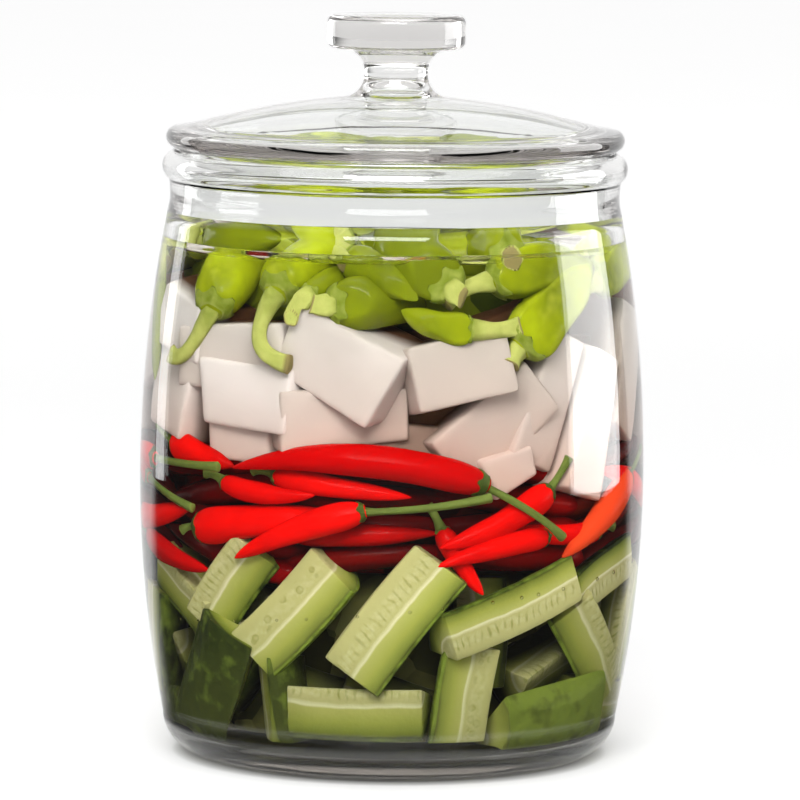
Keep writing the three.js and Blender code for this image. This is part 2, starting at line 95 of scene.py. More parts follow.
class CrockGlass(bpy.types.PropertyGroup):
    """Sizes and tint of the jar and the lid."""

    belly_radius: length("Belly radius", "Outside radius at the widest ring", JAR_TOP.x)
    belly_height: length("Belly height", "Height of the widest ring", 0.109)
    upper_curve: length("Upper curve", "Radius of the side's bend above the belly", 0.52)
    lower_curve: length("Lower curve", "Radius of the side's bend below the belly", 0.457)
    wall: length("Wall", "Thickness of the side", 0.0042)
    heel_radius: length("Heel radius", "Rounding of the base's outer edge", 0.0155)
    floor_thickness: length("Floor thickness", "Glass under the contents", 0.009)
    floor_rise: length("Floor rise", "How much higher the floor is in the middle", 0.0015)
    inner_heel: length("Inner heel", "Rounding inside the base", 0.013)
    neck_height: length("Neck height", "Height where the side ends under the bead", 0.216)
    bead_radius: length("Bead radius", "Rounding of the bead below the lip", 0.0063)
    bead_outer: length("Bead outer radius", "Outside radius of the bead", 0.0902)
    lip_height: length("Lip height", "Height of the jar's lip", JAR_TOP.z)
    mouth_radius: length("Mouth radius", "Inside radius of the mouth", 0.0815)
    bead_hollow: length("Bead hollow", "How far the inside of the neck bulges out behind the bead", 0.004)
    lid_radius: length("Lid radius", "Outside radius of the lid", LID_TOP.x)
    lid_edge: length("Lid edge", "Thickness of the lid's rounded edge", 0.008)
    lid_wall: length("Lid wall", "Thickness of the dome at the knob's foot", 0.0045)
    lid_thickening: length("Lid thickening", "How much thicker the dome is at the collar", 0.0043)
    dome_edge: length("Dome edge", "Radius where the dome starts", 0.082)
    dome_top: length("Dome top", "Height of the dome at the knob's foot", 0.255)
    dome_bulge: length("Dome bulge", "Rise of the dome above a cone", 0.0014)
    collar_inner: length("Collar inner", "Inside radius of the locating collar", 0.075)
    collar_outer: length("Collar outer", "Outside radius of the locating collar", 0.0795)
    knob_neck: length("Knob neck", "Radius of the knob's neck", 0.0123)
    knob_neck_height: length("Knob neck height", "Height of the narrowest ring", 0.264)
    knob_radius: length("Knob radius", "Radius of the knob's disc", 0.0268)
    knob_bottom: length("Knob bottom", "Height of the disc's underside", 0.274)
    knob_edge: length("Knob edge", "Rounding of the disc's edges", 0.003)
    knob_fillet: length("Knob fillet", "Rounding between neck, dome and disc", 0.009)
    hollow_radius: length("Hollow radius", "Radius of the hollow under the knob", 0.012)
    hollow_height: length("Hollow height", "Height of the hollow under the knob", 0.011)
    top: length("Top", "Height of the knob's top", LID_TOP.z)
    clear: colour("Clear glass", "Colour of the clear glass", (0.985, 0.99, 0.985))
    milky: colour("Fuller glass", "Colour where the glass is a little fuller", (0.955, 0.97, 0.965))
    thick: colour("Thick glass", "Colour that thick glass turns to", (0.62, 0.58, 0.56))
    jar_density: number("Jar density", "How fast the jar's thick glass takes that colour, per metre", 17.0)
    lid_density: number("Lid density", "How fast the lid's thick glass takes that colour, per metre", 13.0)


class CrockBrine(bpy.types.PropertyGroup):
    """Level and colour of the brine."""

    level: length("Level", "Height of the flat surface", 0.1964)
    meniscus: length("Meniscus", "How far the brine climbs the wall", 0.0042)
    into_wall: length("Into the wall", "How far the brine reaches into the glass", 0.0012)
    clear: colour("Clear brine", "Colour of the brine", (0.985, 0.985, 0.965))
    cloudy: colour("Cloudy brine", "Colour where the brine is a little fuller", (0.965, 0.965, 0.93))
    absorbed: colour("Deep brine", "Colour that deep brine turns to", (0.82, 0.74, 0.52))
    density: number("Density", "How fast the brine takes that colour, per metre", 2.2)
    bubble_low: length("Lowest bubble", "Height of the lowest bubbles", 0.025)
    bubble_span: length("Bubble span", "How far up from there bubbles cling", 0.055)
    bubble_gap: length("Bubble gap", "From the wall to the middle of a bubble", 0.0022)
    bubble_small: length("Small bubble", "Radius of the smallest bubbles", 0.0004)
    bubble_more: length("Bubble growth", "How much more the largest have", 0.0008)


class CrockCucumber(bpy.types.PropertyGroup):
    """Size and colours of the cucumber sticks."""

    radius: number("Radius", "Millimetres from the core to the skin", 22.0)
    wedge: number("Wedge", "Degrees of the round that one stick takes", 80.0)
    core: colour("Core", "Wet seed bed", (0.49, 0.46, 0.20))
    seed: colour("Seed gap", "Clear wet gaps between the seeds", (0.27, 0.27, 0.07))
    line: colour("White line", "Pale seeds and the line round their bed", (0.78, 0.74, 0.47))
    flesh: colour("Flesh", "Flesh outside the line", (0.46, 0.46, 0.13))
    mid: colour("Mid flesh", "Flesh half way to the skin", (0.34, 0.37, 0.065))
    green: colour("Green flesh", "Flesh under the skin", (0.14, 0.175, 0.018))
    skin: colour("Skin", "Dark skin", (0.022, 0.034, 0.006))
    skin_pale: colour("Pale skin", "Paler stripes of the skin", (0.18, 0.245, 0.03))
    # Painted shade: the flesh turns towards this colour low in the layer, where the lower sticks get less
    # light.
    painted_low_shade: colour("Steeped", "Duller flesh towards the bottom", (0.11, 0.12, 0.03))
    shade: colour("Shade", "Deep between the sticks", (0.022, 0.021, 0.006))
    inner_dark: colour("Dark inside", "Darker blotches of the layer's inside", (0.03, 0.03, 0.008))
    inner_light: colour("Light inside", "Lighter blotches of the layer's inside", (0.2, 0.19, 0.06))


class CrockChilli(bpy.types.PropertyGroup):
    """Colours of the red chillies."""

    red: colour("Red", "Ripe skin", (0.90, 0.003, 0.001))
    deep: colour("Deep red", "Darker skin", (0.55, 0.001, 0.001))
    orange: colour("Orange", "Less ripe skin", (0.95, 0.11, 0.025))
    shade: colour("Shade", "Deep between the pods", (0.08, 0.001, 0.001))
    stalk: colour("Stalk", "Dark green stalk", (0.055, 0.085, 0.012))
    stalk_pale: colour("Pale stalk", "Paler end of the stalk", (0.16, 0.21, 0.04))
    inner_dark: colour("Dark inside", "Darker blotches of the layer's inside", (0.05, 0.003, 0.002))
    inner_light: colour("Light inside", "Lighter blotches of the layer's inside", (0.25, 0.006, 0.004))


class CrockRadish(bpy.types.PropertyGroup):
    """Colours of the radish blocks."""

    white: colour("White", "Cut flesh", (0.90, 0.84, 0.83))
    shade: colour("Shade", "Flesh with less light in it", (0.50, 0.42, 0.365))
    # Painted reflected light: the pink that the red chillies below throw on the lower blocks.
    painted_chilli_bounce: colour("Stained", "Flesh stained by the chillies below", (0.62, 0.40, 0.33))
    # Painted shade: blocks further in from the glass turn to this colour.
    deep: colour("Deep", "Deep between the blocks", (0.13, 0.055, 0.025))
    inner_dark: colour("Dark inside", "Darker blotches of the layer's inside", (0.16, 0.08, 0.05))
    inner_light: colour("Light inside", "Lighter blotches of the layer's inside", (0.42, 0.30, 0.23))
    rounding: number("Rounding", "Millimetres of rounding on the edges", 1.7)


class CrockPepper(bpy.types.PropertyGroup):
    """Colours of the green peppers."""

    bright: colour("Bright", "Yellow-green skin", (0.46, 0.53, 0.008))
    deep: colour("Deep", "Greener skin", (0.13, 0.16, 0.004))
    pale: colour("Pale", "Pale patches", (0.58, 0.62, 0.06))
    stalk: colour("Stalk", "Calyx and foot of the stalk", (0.18, 0.23, 0.016))
    stalk_pale: colour("Pale stalk", "Stalk and its ridges", (0.50, 0.52, 0.14))
    cut: colour("Cut end", "Browned end of the stalk", (0.27, 0.22, 0.08))
    tip: colour("Tooth tip", "Dark tips of the calyx", (0.03, 0.035, 0.006))
    inner_dark: colour("Dark inside", "Darker blotches of the layer's inside", (0.05, 0.07, 0.006))
    inner_light: colour("Light inside", "Lighter blotches of the layer's inside", (0.22, 0.26, 0.012))


class CrockStage(bpy.types.PropertyGroup):
    """Camera and lights."""

    eye: position("Eye", "Place of the camera", (0.0029, -2.333, 0.389))
    aim: position("Aim", "Point that the camera looks at", (0.0029, 0, 0.1373))
    roll: number("Roll", "Degrees that the camera is turned about its line of sight", 0.65)
    lens: number("Lens", "Focal length in millimetres on a 36 mm sensor", 271.5)
    floor: colour("Floor", "Pale floor", (0.93, 0.93, 0.93))
    contact: colour("Contact", "Floor in the shade right under the jar", (0.02, 0.013, 0.008))
    contact_radius: length("Contact radius", "Where the floor is in full shade", 0.072)
    contact_edge: length("Contact edge", "Where that shade ends", 0.085)
    mirrored: colour("Mirrored floor", "Front floor as the glass mirrors it", (0.03, 0.03, 0.03))
    sky: colour("Sky", "Light from behind and above", (1.0, 1.0, 1.0))
    sky_strength: number("Sky strength", "Strength of the light from behind and above", 1.0)
    floor_glow: number("Floor glow", "Light that the far floor gives off, so that it stays white", 0.45)
    room: colour("Room", "Dimmer light from the sides and the front", (0.04, 0.04, 0.04))


class Surface:
    """One shape, or several gathered: points, faces of four and three corners, and named values."""

    def __init__(self, points, quads, tris, marks):
        self.points = np.asarray(points, float)
        self.quads = np.asarray(quads, int).reshape(-1, 4)
        self.tris = np.asarray(tris, int).reshape(-1, 3)
        self.marks = {name: np.asarray(values, float) for name, values in marks.items()}


def packed(surfaces, glass, gap=PIECE_GAP):
    """All the surfaces of a layer as one, each pressed inside the glass less a gap.

    The gap grows by 0.4 mm for each millimetre that a surface stays short of the full reach, so that
    pieces which overlap at the glass stay one behind the other.
    """
    for surface in surfaces:
        reach = np.hypot(surface.points[:, 0], surface.points[:, 1]).max()
        surface.points = press_inside(surface.points, glass, gap + 0.4 * max(0, FULL_REACH - reach))
    return gather(surfaces)


def gather(surfaces):
    """All the surfaces as one, each one's corner numbers moved on past the points before it."""
    starts = np.cumsum([0] + [len(s.points) for s in surfaces[:-1]])
    return Surface(
        np.concatenate([s.points for s in surfaces]),
        np.concatenate([s.quads + start for s, start in zip(surfaces, starts)]),
        np.concatenate([s.tris + start for s, start in zip(surfaces, starts)]),
        {name: np.concatenate([s.marks[name] for s in surfaces]) for name in surfaces[0].marks},
    )


def skin_rings(rings, first, last, **marks):
    """A closed surface through rings of points.

    rings is (ring, step round, xyz). Neighbouring rings are joined by four-cornered faces, the last step
    round joins the first, and a fan of triangles shuts each end to its point. Rings that turn
    counter-clockwise seen from the last one give faces that point outwards. A mark is (ring, step round).
    """
    count, around = rings.shape[:2]
    index = 1 + np.arange(count * around).reshape(count, around)
    turned = np.roll(index, -1, axis=1)
    quads = np.stack([index[:-1], turned[:-1], turned[1:], index[1:]], axis=-1)
    end = count * around + 1
    fan_first = np.stack([np.zeros(around, int), turned[0], index[0]], axis=-1)
    fan_last = np.stack([np.full(around, end), index[-1], turned[-1]], axis=-1)
    points = np.concatenate([[first], rings.reshape(-1, 3), [last]])
    flat = {
        name: np.concatenate([[values[0].mean()], values.ravel(), [values[-1].mean()]])
        for name, values in marks.items()
    }
    return Surface(points, quads.reshape(-1, 4), np.concatenate([fan_first, fan_last]), flat)


def revolve(profile, steps=ROUND_STEPS):
    """A profile of (radius, height) points turned about the axis: (r sin a, -r cos a, z) for all angles a.

    The profile starts and ends on the axis.
    """
    profile = np.asarray(profile, float)
    angle = np.linspace(0, 2 * np.pi, steps, endpoint=False)
    radius, height = profile[1:-1, :1], profile[1:-1, 1:]
    rings = np.stack([radius * np.sin(angle), -radius * np.cos(angle), height + 0 * angle], axis=-1)
    return skin_rings(rings, (0, 0, profile[0, 1]), (0, 0, profile[-1, 1]))


def arc(radius, height, bend, start, stop, steps=10):
    """Points (radius + bend cos a, height + bend sin a) for angles a between two angles in degrees."""
    angle = np.radians(np.linspace(start, stop, steps + 1))
    return np.stack([radius + bend * np.cos(angle), height + bend * np.sin(angle)], axis=-1)


def soften(profile, steps):
    """A copy of the profile with its corners cut smaller, again and again.

    Each stretch gives up its two points for those a quarter of the way in from each end.
    """
    points = np.asarray(profile, float)
    for _ in range(steps):
        quarter = 0.75 * points[:-1] + 0.25 * points[1:]
        three = 0.25 * points[:-1] + 0.75 * points[1:]
        inner = np.stack([quarter, three], axis=1).reshape(-1, 2)
        points = np.concatenate([points[:1], inner, points[-1:]])
    return points


def side_radius(glass, height):
    """Outside radius of the jar's side: one shallow parabola above the belly and one below."""
    curve = np.where(height > glass.belly_height, glass.upper_curve, glass.lower_curve)
    return glass.belly_radius - (height - glass.belly_height) ** 2 / (2 * curve)


def side(glass, start, stop, depth, steps=40):
    """Points of the jar's side between two heights, set in from the outside by a depth."""
    height = np.linspace(start, stop, steps + 1)
    return np.stack([side_radius(glass, height) - depth, height], axis=-1)


def cavity(glass, clearance=0.0):
    """Profile of the jar's inside from the middle of the floor to under the neck, set in by a clearance."""
    floor = glass.floor_thickness + clearance
    heel_top = floor + glass.inner_heel
    heel = float(side_radius(glass, heel_top)) - glass.wall - clearance - glass.inner_heel
    return np.concatenate(
        [
            [[0, floor + glass.floor_rise], [heel / 2, floor + glass.floor_rise / 2]],
            arc(heel, heel_top, glass.inner_heel, -90, 0),
            side(glass, heel_top + 0.004, glass.neck_height - 0.008, glass.wall + clearance),
        ]
    )


def jar_profile(glass):
    """Outline of the jar's glass: out along the base, up the side, over bead and lip and back inside."""
    heel = float(side_radius(glass, glass.heel_radius)) - glass.heel_radius
    bead = glass.bead_outer - glass.bead_radius
    bead_height = glass.lip_height - glass.bead_radius - 0.0004
    neck = side(glass, glass.heel_radius + 0.003, glass.neck_height, 0)
    under_bead = np.concatenate([neck[-2:], arc(bead, bead_height, glass.bead_radius, -55, -40, 2)])
    lip = [
        [bead + 0.0015, glass.lip_height - 0.0002],
        [bead - 0.0005, glass.lip_height],
        [glass.mouth_radius + 0.0006, glass.lip_height - 0.0003],
        [glass.mouth_radius, glass.lip_height - 0.002],
    ]
    share = np.linspace(0.05, 0.95, 19)
    groove = np.stack(
        [
            glass.mouth_radius + glass.bead_hollow * np.sin(np.pi * share) ** 2,
            glass.lip_height - 0.002 + share * (glass.neck_height + 0.008 - glass.lip_height),
        ],
        axis=-1,
    )
    throat_foot = glass.neck_height - 0.006
    throat = [
        [glass.mouth_radius, glass.neck_height + 0.006],
        [glass.mouth_radius, glass.neck_height + 0.001],
        [float(side_radius(glass, throat_foot)) - glass.wall, throat_foot],
    ]
    return np.concatenate(
        [
            [[0, 0]],
            arc(heel, glass.heel_radius, glass.heel_radius, -90, 0, 16),
            neck[:-1],
            soften(under_bead, 3),
            arc(bead, bead_height, glass.bead_radius, -35, 70, 16),
            soften(lip, 3),
            groove,
            soften(throat, 3),
            cavity(glass)[::-1],
        ]
    )


def lid_profile(glass):
    """Outline of the lid's glass: out along the underside, round collar and edge, up dome and knob."""
    seat = LID_LOW.z + 0.005
    edge = glass.lid_edge / 2
    foot = glass.knob_neck + glass.knob_fillet
    share = np.linspace(0, 1, 25)
    radius = glass.dome_edge + (foot - glass.dome_edge) * share
    start = seat + glass.lid_edge
    dome = start + (glass.dome_top - start) * share + glass.dome_bulge * np.sin(np.pi * share)
    turn = np.linspace(0, np.pi / 2, 12)
    hollow_foot = glass.dome_top - glass.lid_wall
    hollow = np.stack(
        [glass.hollow_radius * np.sin(turn), hollow_foot + glass.hollow_height * np.cos(turn)], axis=-1
    )
    outward = (radius - foot) / (glass.collar_inner - foot)
    thickness = glass.lid_wall + glass.lid_thickening * outward**2
    under = np.stack([radius, dome - thickness], axis=-1)[::-1]
    under = under[under[:, 0] < glass.collar_inner - 0.004]
    collar = [
        under[-1],
        [glass.collar_inner, seat + 0.001],
        [glass.collar_inner, seat - 0.004],
        [glass.collar_inner + 0.0008, LID_LOW.z],
        [glass.collar_outer - 0.0008, LID_LOW.z],
        [glass.collar_outer, seat - 0.004],
        [glass.collar_outer, seat],
    ]
    outside = np.stack([radius, dome], axis=-1)
    shoulder = np.concatenate([arc(glass.lid_radius - edge, seat + edge, edge, 40, 60, 2), outside[:3]])
    knob = glass.knob_radius - glass.knob_edge
    return np.concatenate(
        [
            hollow,
            soften(under[:4], 2),
            under[4:-1],
            soften(collar, 2),
            arc(glass.lid_radius - edge, seat + edge, edge, -90, 35, 14),
            soften(shoulder, 2),
            outside[3:-1],
            arc(foot, glass.knob_neck_height, glass.knob_fillet, 262, 180, 12),
            arc(foot, glass.knob_bottom - glass.knob_fillet, glass.knob_fillet, 170, 95, 10),
            arc(knob, glass.knob_bottom + glass.knob_edge, glass.knob_edge, -80, 0, 8),
            arc(knob, glass.top - glass.knob_edge, glass.knob_edge, 0, 88, 8),
            [[0, glass.top]],
        ]
    )


def brine_profile(glass, brine):
    """Outline of the brine: just inside the glass of floor and wall, then meniscus and flat level."""
    inside = cavity(glass, -brine.into_wall)
    climb = brine.level + brine.meniscus
    wall = inside[inside[:, 1] < climb]
    edge = float(side_radius(glass, climb)) - glass.wall
    inward = np.linspace(0, 1, 12)[:, None]
    height = brine.level + brine.meniscus * (1 - inward) ** 3
    slope = np.concatenate([edge - 0.007 * inward, height], axis=1)
    return np.concatenate([wall, [[edge + brine.into_wall, climb]], slope, [[0, brine.level]]])


def spot(around, out, up):
    """Place in metres, (out sin a, -out cos a, up), from degrees round from the front and millimetres."""
    angle = np.radians(around)
    return MM * np.stack(np.broadcast_arrays(out * np.sin(angle), -out * np.cos(angle), up), axis=-1)


def press_inside(points, glass, gap):
    """Points moved straight in to the inside of the glass where they would pass it, less a gap.

    The limit is the inner wall's radius, drawn in round the heel's arc near the floor.
    """
    up = np.maximum(points[:, 2], glass.floor_thickness + glass.floor_rise + gap)
    heel_top = glass.floor_thickness + glass.inner_heel
    drop = np.clip((heel_top - up) / glass.inner_heel, 0, 1)
    limit = side_radius(glass, np.maximum(up, heel_top)) - glass.wall - gap
    limit = limit - glass.inner_heel * (1 - np.sqrt(1 - drop**2))
    out = np.maximum(np.hypot(points[:, 0], points[:, 1]), 1e-9)
    inward = np.minimum(1, limit / out)
    return np.stack([points[:, 0] * inward, points[:, 1] * inward, up], axis=-1)


def wall_frame(piece, inset=0):
    """Axes at a piece's place as a matrix, and the place itself, set in from the glass by an inset.

    X runs to the right along the wall, Y up and Z out to the glass. They are turned by the rise of the long
    side in that plane, its lean and the spin about its length.
    """
    away = spot(piece["round"], 1, 0) / MM
    right = np.cross((0, 0, 1), away)
    axes = np.stack([right, (0, 0, 1), away], axis=1)
    for name, axis in (("rise", "Z"), ("lean", "Y"), ("spin", "X")):
        axes = axes @ np.array(Matrix.Rotation(math.radians(piece.get(name, 0)), 3, axis))
    return axes, spot(piece["round"], piece["out"] - inset, piece["up"])


def spread(index, salt=0):
    """An even spread of shares between 0 and 1: steps of the golden ratio."""
    return ((index + 1) * 0.6180339887 + salt * 0.7548776662) % 1


def bend(start, middle, end, shares):
    """Points and directions, at shares of the way, on the parabola through three points."""
    t = np.asarray(shares)[:, None]
    pull = 2 * middle - 0.5 * (start + end)
    points = (1 - t) ** 2 * start + 2 * t * (1 - t) * pull + t**2 * end
    ways = 2 * (1 - t) * (pull - start) + 2 * t * (end - pull)
    return points, ways / np.linalg.norm(ways, axis=1, keepdims=True)


def half_way(start, end, bow):
    """The place half way round the wall between two places, raised by a bow in millimetres."""
    around, out, up = (np.asarray(start, float) + np.asarray(end, float)) / 2
    return spot(around, out, up + bow)


def ring_points(line, shares, angle, reach):
    """Points round a bent line, square to its direction: shares, angle and reach are (ring, step round).

    line is the start, middle and end of a parabola. Angles turn from upwards towards the side.
    """
    points, ways = bend(*line, shares.ravel())
    overall = line[2] - line[0]
    upright = abs(overall[2]) > 0.7 * np.linalg.norm(overall)
    sideways = np.cross(ways, (1, 0, 0) if upright else (0, 0, 1))
    sideways /= np.linalg.norm(sideways, axis=1, keepdims=True)
    upward = np.cross(sideways, ways)
    turn, out = angle.reshape(-1, 1), reach.reshape(-1, 1)
    placed = points + out * (np.cos(turn) * upward + np.sin(turn) * sideways)
    return placed.reshape(*shares.shape, 3)


def pod_line(piece):
    """Start, middle and end of a pod's bent line, from its tip to its stem end."""
    tip, stem = piece["tip"], piece["stem"]
    return spot(*tip), half_way(tip, stem, piece.get("bow", 0)), spot(*stem)


def pod_reach(piece, seed, kind, t, angle):
    """Distance of a pod's skin from its line at shares t of its length.

    It is (1 - (1 - t)^blunt)^0.7 of half the thickness from the tip on, drawn in again from the neck to the
    stem end, with slow swellings along it, lobes that grow to the stem end, and shallow folds that twist.
    """
    pull_in = np.clip((t - kind["neck"]) / (1 - kind["neck"]), 0, 1)
    taper = (1 - (1 - t) ** kind["blunt"]) ** 0.7 * np.sqrt(1 - 0.84 * pull_in**2.4)
    phase = 2 * np.pi * np.array([spread(seed, salt) for salt in range(4)])
    wrinkle = kind["wrinkle"]
    return 0.5 * MM * piece["thick"] * taper * (
        1
        + 0.05 * np.sin(9 * t + phase[0])
        + 0.04 * np.cos(2 * angle + phase[1] + 2 * t)
        + kind["lobes"] * t**2 * np.cos(3 * angle + phase[2])
        + wrinkle * np.cos(5 * angle + phase[2] + 4 * np.sin(3 * t + phase[3]))
        + 0.5 * wrinkle * np.sin(8 * angle - 14 * t + phase[0])
    )


def pod_surface(piece, seed, kind):
    """One pod: rings set out from its bent line by its reach, closer together towards both ends."""
    shares = 0.5 - 0.5 * np.cos(np.pi * np.linspace(0.02, 0.985, kind["rings"]))
    t, angle = np.meshgrid(shares, np.linspace(0, 2 * np.pi, kind["steps"], endpoint=False), indexing="ij")
    line = pod_line(piece)
    rings = ring_points(line, t, angle, pod_reach(piece, seed, kind, t, angle))
    tone = np.full_like(t, piece.get("tone", spread(seed, 5)))
    return skin_rings(rings, line[0], line[2], along=t, tone=tone)


def calyx_surface(piece, seed, kind):
    """The cap of a pod's stem end: it lies just over the pod's skin and ends in a ring of pointed teeth.

    Each angle starts at its own share of the pod's length, further down the pod at a tooth.
    """
    steps = 36
    angle = np.linspace(0, 2 * np.pi, steps, endpoint=False)
    phase = 2 * np.pi * spread(seed, 7)
    tooth = np.abs(np.cos(0.5 * kind["teeth"] * angle + phase)) ** 5
    edge = kind["cap"] - kind["tooth"] * tooth
    share = np.array([0.0, 0.12, 0.3, 0.5, 0.7, 0.86, 1.0])[:, None]
    t = edge + (0.992 - edge) * share
    turn = np.repeat(angle[None], len(share), axis=0)
    lift = MM * kind["cap_lift"] * np.sin(np.pi * np.clip(0.12 + share, 0, 1)) ** 0.5
    reach = pod_reach(piece, seed, kind, np.minimum(t, 0.985), turn) + lift
    line = pod_line(piece)
    rings = ring_points(line, t, turn, reach)
    inside = bend(*line, [kind["cap"]])[0][0]
    along = 0.5 * share + 0 * t
    rim = tooth * np.clip(1 - 5 * share, 0, 1)
    tone = np.full_like(t, piece.get("tone", spread(seed, 5)))
    return skin_rings(rings, inside, line[2], along=along, tone=tone, rim=rim)


def stalk_surface(piece, seed, kind):
    """The stalk of a pod, from just inside its stem end to the cut end.

    It is thickest where it leaves the pod, thins, and widens again to the cut. Ridges run along it.
    """
    thick = kind["stalk"]
    root, way = bend(*pod_line(piece), [0.955])
    if "cut" in piece:
        end = spot(*piece["cut"])
        between = half_way(piece["stem"], piece["cut"], piece.get("cut_bow", 0))
        middle = spot(*piece["by"]) if "by" in piece else between
    else:
        end = root[0] + way[0] * MM * thick * 3.4
        middle = root[0] + way[0] * MM * thick * 1.8 + (0, 0, MM * thick * 0.3)
    shares = np.concatenate([np.linspace(0, 0.975, 18), [0.993, 1.0]])
    t, angle = np.meshgrid(shares, np.linspace(0, 2 * np.pi, 18, endpoint=False), indexing="ij")
    gone = t * np.linalg.norm(end - root[0]) / (MM * thick)
    phase = 2 * np.pi * spread(seed, 7)
    reach = 0.5 * MM * thick * (0.86 + 0.5 * np.exp(-((gone / 0.9) ** 2)) + kind["flare"] * t**4)
    reach = reach * (1 + 0.06 * np.cos(5 * angle + phase) + 0.04 * np.sin(7 * t + 2 * angle + phase))
    reach[-1] *= 0.84
    rings = ring_points((root[0], middle, end), t, angle, reach)
    tone = np.full_like(t, piece.get("tone", spread(seed, 3)))
    along = 0.5 + 0.5 * t
    return skin_rings(rings, root[0], end, along=along, tone=tone, rim=0 * t)


CORES = {
    "cucumber": {"radius": 57, "bottom": 12, "top": 78, "lump": 4, "seed": 1.0},
    "chilli": {"radius": 63, "bottom": 79, "top": 118, "lump": 3, "seed": 2.0},
    "radish": {"radius": 54, "bottom": 119, "top": 168, "lump": 4, "seed": 3.0},
    "pepper": {"radius": 60, "bottom": 169, "top": 189, "lump": 3, "seed": 4.0},
}
CHILLI_KIND = {
    "blunt": 2.6, "neck": 0.8, "wrinkle": 0.02, "lobes": 0.02, "steps": 18, "rings": 30,
    "stalk": 3.2, "flare": 0.35, "cap": 0.965, "tooth": 0.02, "teeth": 5, "cap_lift": 0.35,
}
PEPPER_KIND = {
    "blunt": 3.2, "neck": 0.74, "wrinkle": 0.025, "lobes": 0.06, "steps": 28, "rings": 38,
    "stalk": 6.6, "flare": 0.3, "cap": 0.945, "tooth": 0.04, "teeth": 6, "cap_lift": 0.9,
}


def stick_surface(piece, seed, look):
    """One cucumber stick: a wedge of the round carried along its length, with flat ends.

    The section runs down one cut face from core to skin, round the skin and up the other face, and is
    averaged with its neighbours to ease the edges. rho is the share of the way from core to skin.
    """
    radius = look.radius * piece.get("size", 1)
    wedge = math.radians(look.wedge)
    down = 1 - (1 - np.linspace(0, 1, 18, endpoint=False)) ** 1.5
    turn = np.linspace(0, wedge, 22, endpoint=False)
    face = np.stack([radius * (0.5 - down), 0 * down], axis=-1)
    skin = np.stack([radius * (0.5 - np.cos(turn)), -radius * np.sin(turn)], axis=-1)
    up = 1 - np.concatenate([[1.0], down[:0:-1]])
    back = radius * np.stack([0.5 - (1 - up) * np.cos(wedge), (up - 1) * np.sin(wedge)], axis=-1)
    section = np.concatenate([face, skin, back])
    for _ in range(2):
        section = 0.5 * section + 0.25 * (np.roll(section, 1, 0) + np.roll(section, -1, 0))
    half = piece["long"] / 2
    inward = np.array([0.15, 0.35, 0.55, 0.75, 0.9])
    body = np.linspace(-1, 1, 13) * (half - 0.9)
    place = np.concatenate([np.full(5, -half), [-half + 0.25], body, [half - 0.25], np.full(5, half)])
    scale = np.concatenate([inward, [0.985], np.ones(13), [0.985], inward[::-1]])
    middle = section.mean(0)
    grid = middle + scale[:, None, None] * (section - middle)
    phase = 2 * np.pi * np.array([spread(seed, salt) for salt in range(4)])
    bowed = 1.2 * math.sin(phase[0]) * (place / half) ** 2
    steps = np.arange(len(section))[None]
    wave = 0.22 * np.sin(0.35 * place[:, None] + phase[1]) * np.sin(0.3 * steps + phase[2])
    lengthways = np.repeat(place[:, None], len(section), axis=1)
    local = np.stack([lengthways, grid[..., 0] + bowed[:, None], grid[..., 1] + wave], axis=-1)
    trimmed = piece.get("trim", 0.12 + 0.2 * spread(seed, 6))
    rho = np.hypot(grid[..., 0] - 0.5 * radius, grid[..., 1]) / radius
    marks = {
        "rho": trimmed + (1 - trimmed) * rho,
        "along": lengthways + 50 * spread(seed, 4),
        "tone": np.full(rho.shape, piece.get("tone", spread(seed, 5))),
    }
    axes, centre = wall_frame(piece)
    rings = (MM * local) @ axes.T + centre
    heart = [middle[0] + 1.2 * math.sin(phase[0]), middle[1]]
    first, last = (MM * np.array([[-half, *heart], [half, *heart]])) @ axes.T + centre
    turned = {name: values[:, ::-1] for name, values in marks.items()}
    return skin_rings(rings[:, ::-1], first, last, **turned)


def block_surface(piece, seed, rounding):
    """One radish block: a brick with rounded edges whose eight corners are moved a little, as cut by hand.

    Each side is a grid on the brick. A point is pulled to the nearest place of a smaller brick and set out
    from it by the rounding. Corner moves are blended over the brick by the share along each edge.
    """
    half = 0.5 * np.array([piece["wide"], piece["tall"], piece["deep"]])
    steps = 12
    share = np.sin(np.linspace(-0.5, 0.5, steps) * np.pi)
    a, b = np.meshgrid(share, share, indexing="ij")
    one = np.ones_like(a)
    grids = [
        np.stack(np.roll(np.stack([sign * one, a * sign, b]), axis, axis=0), axis=-1)
        for axis in range(3)
        for sign in (1, -1)
    ]
    cube = np.stack(grids).reshape(-1, 3)
    index = np.arange(len(cube)).reshape(6, steps, steps)
    quads = np.stack([index[:, :-1, :-1], index[:, 1:, :-1], index[:, 1:, 1:], index[:, :-1, 1:]], axis=-1)
    _, first, merged = np.unique(np.round(cube, 6), axis=0, return_index=True, return_inverse=True)
    quads = merged.ravel()[quads.reshape(-1, 4)]
    cube = cube[first]
    core = half - rounding
    inner = np.clip(cube * half, -core, core)
    out = cube * half - inner
    brick = inner + rounding * out / np.linalg.norm(out, axis=1, keepdims=True)
    weights = (brick / half + 1) / 2
    moved = np.zeros_like(brick)
    for corner in range(8):
        bits = np.array([corner & 1, corner >> 1 & 1, corner >> 2 & 1])
        weight = np.prod(np.where(bits == 1, weights, 1 - weights), axis=1, keepdims=True)
        shift = np.array([spread(seed * 8 + corner, salt) - 0.5 for salt in (1, 2, 3)])
        moved += weight * shift * np.array([4.0, 4.5, 4.0])
    waves = brick @ np.array([[0.41, 0.19], [0.23, 0.47], [0.37, 0.29]])
    dent = 0.25 * np.sin(waves[:, 0] + seed) * np.sin(waves[:, 1])
    local = brick + moved + dent[:, None] * np.array([0.2, 0.5, 1.0])
    axes, centre = wall_frame(piece, piece["deep"] / 2)
    tone = np.full(len(local), piece.get("tone", spread(seed, 5)))
    return Surface((MM * local) @ axes.T + centre, quads, [], {"tone": tone})


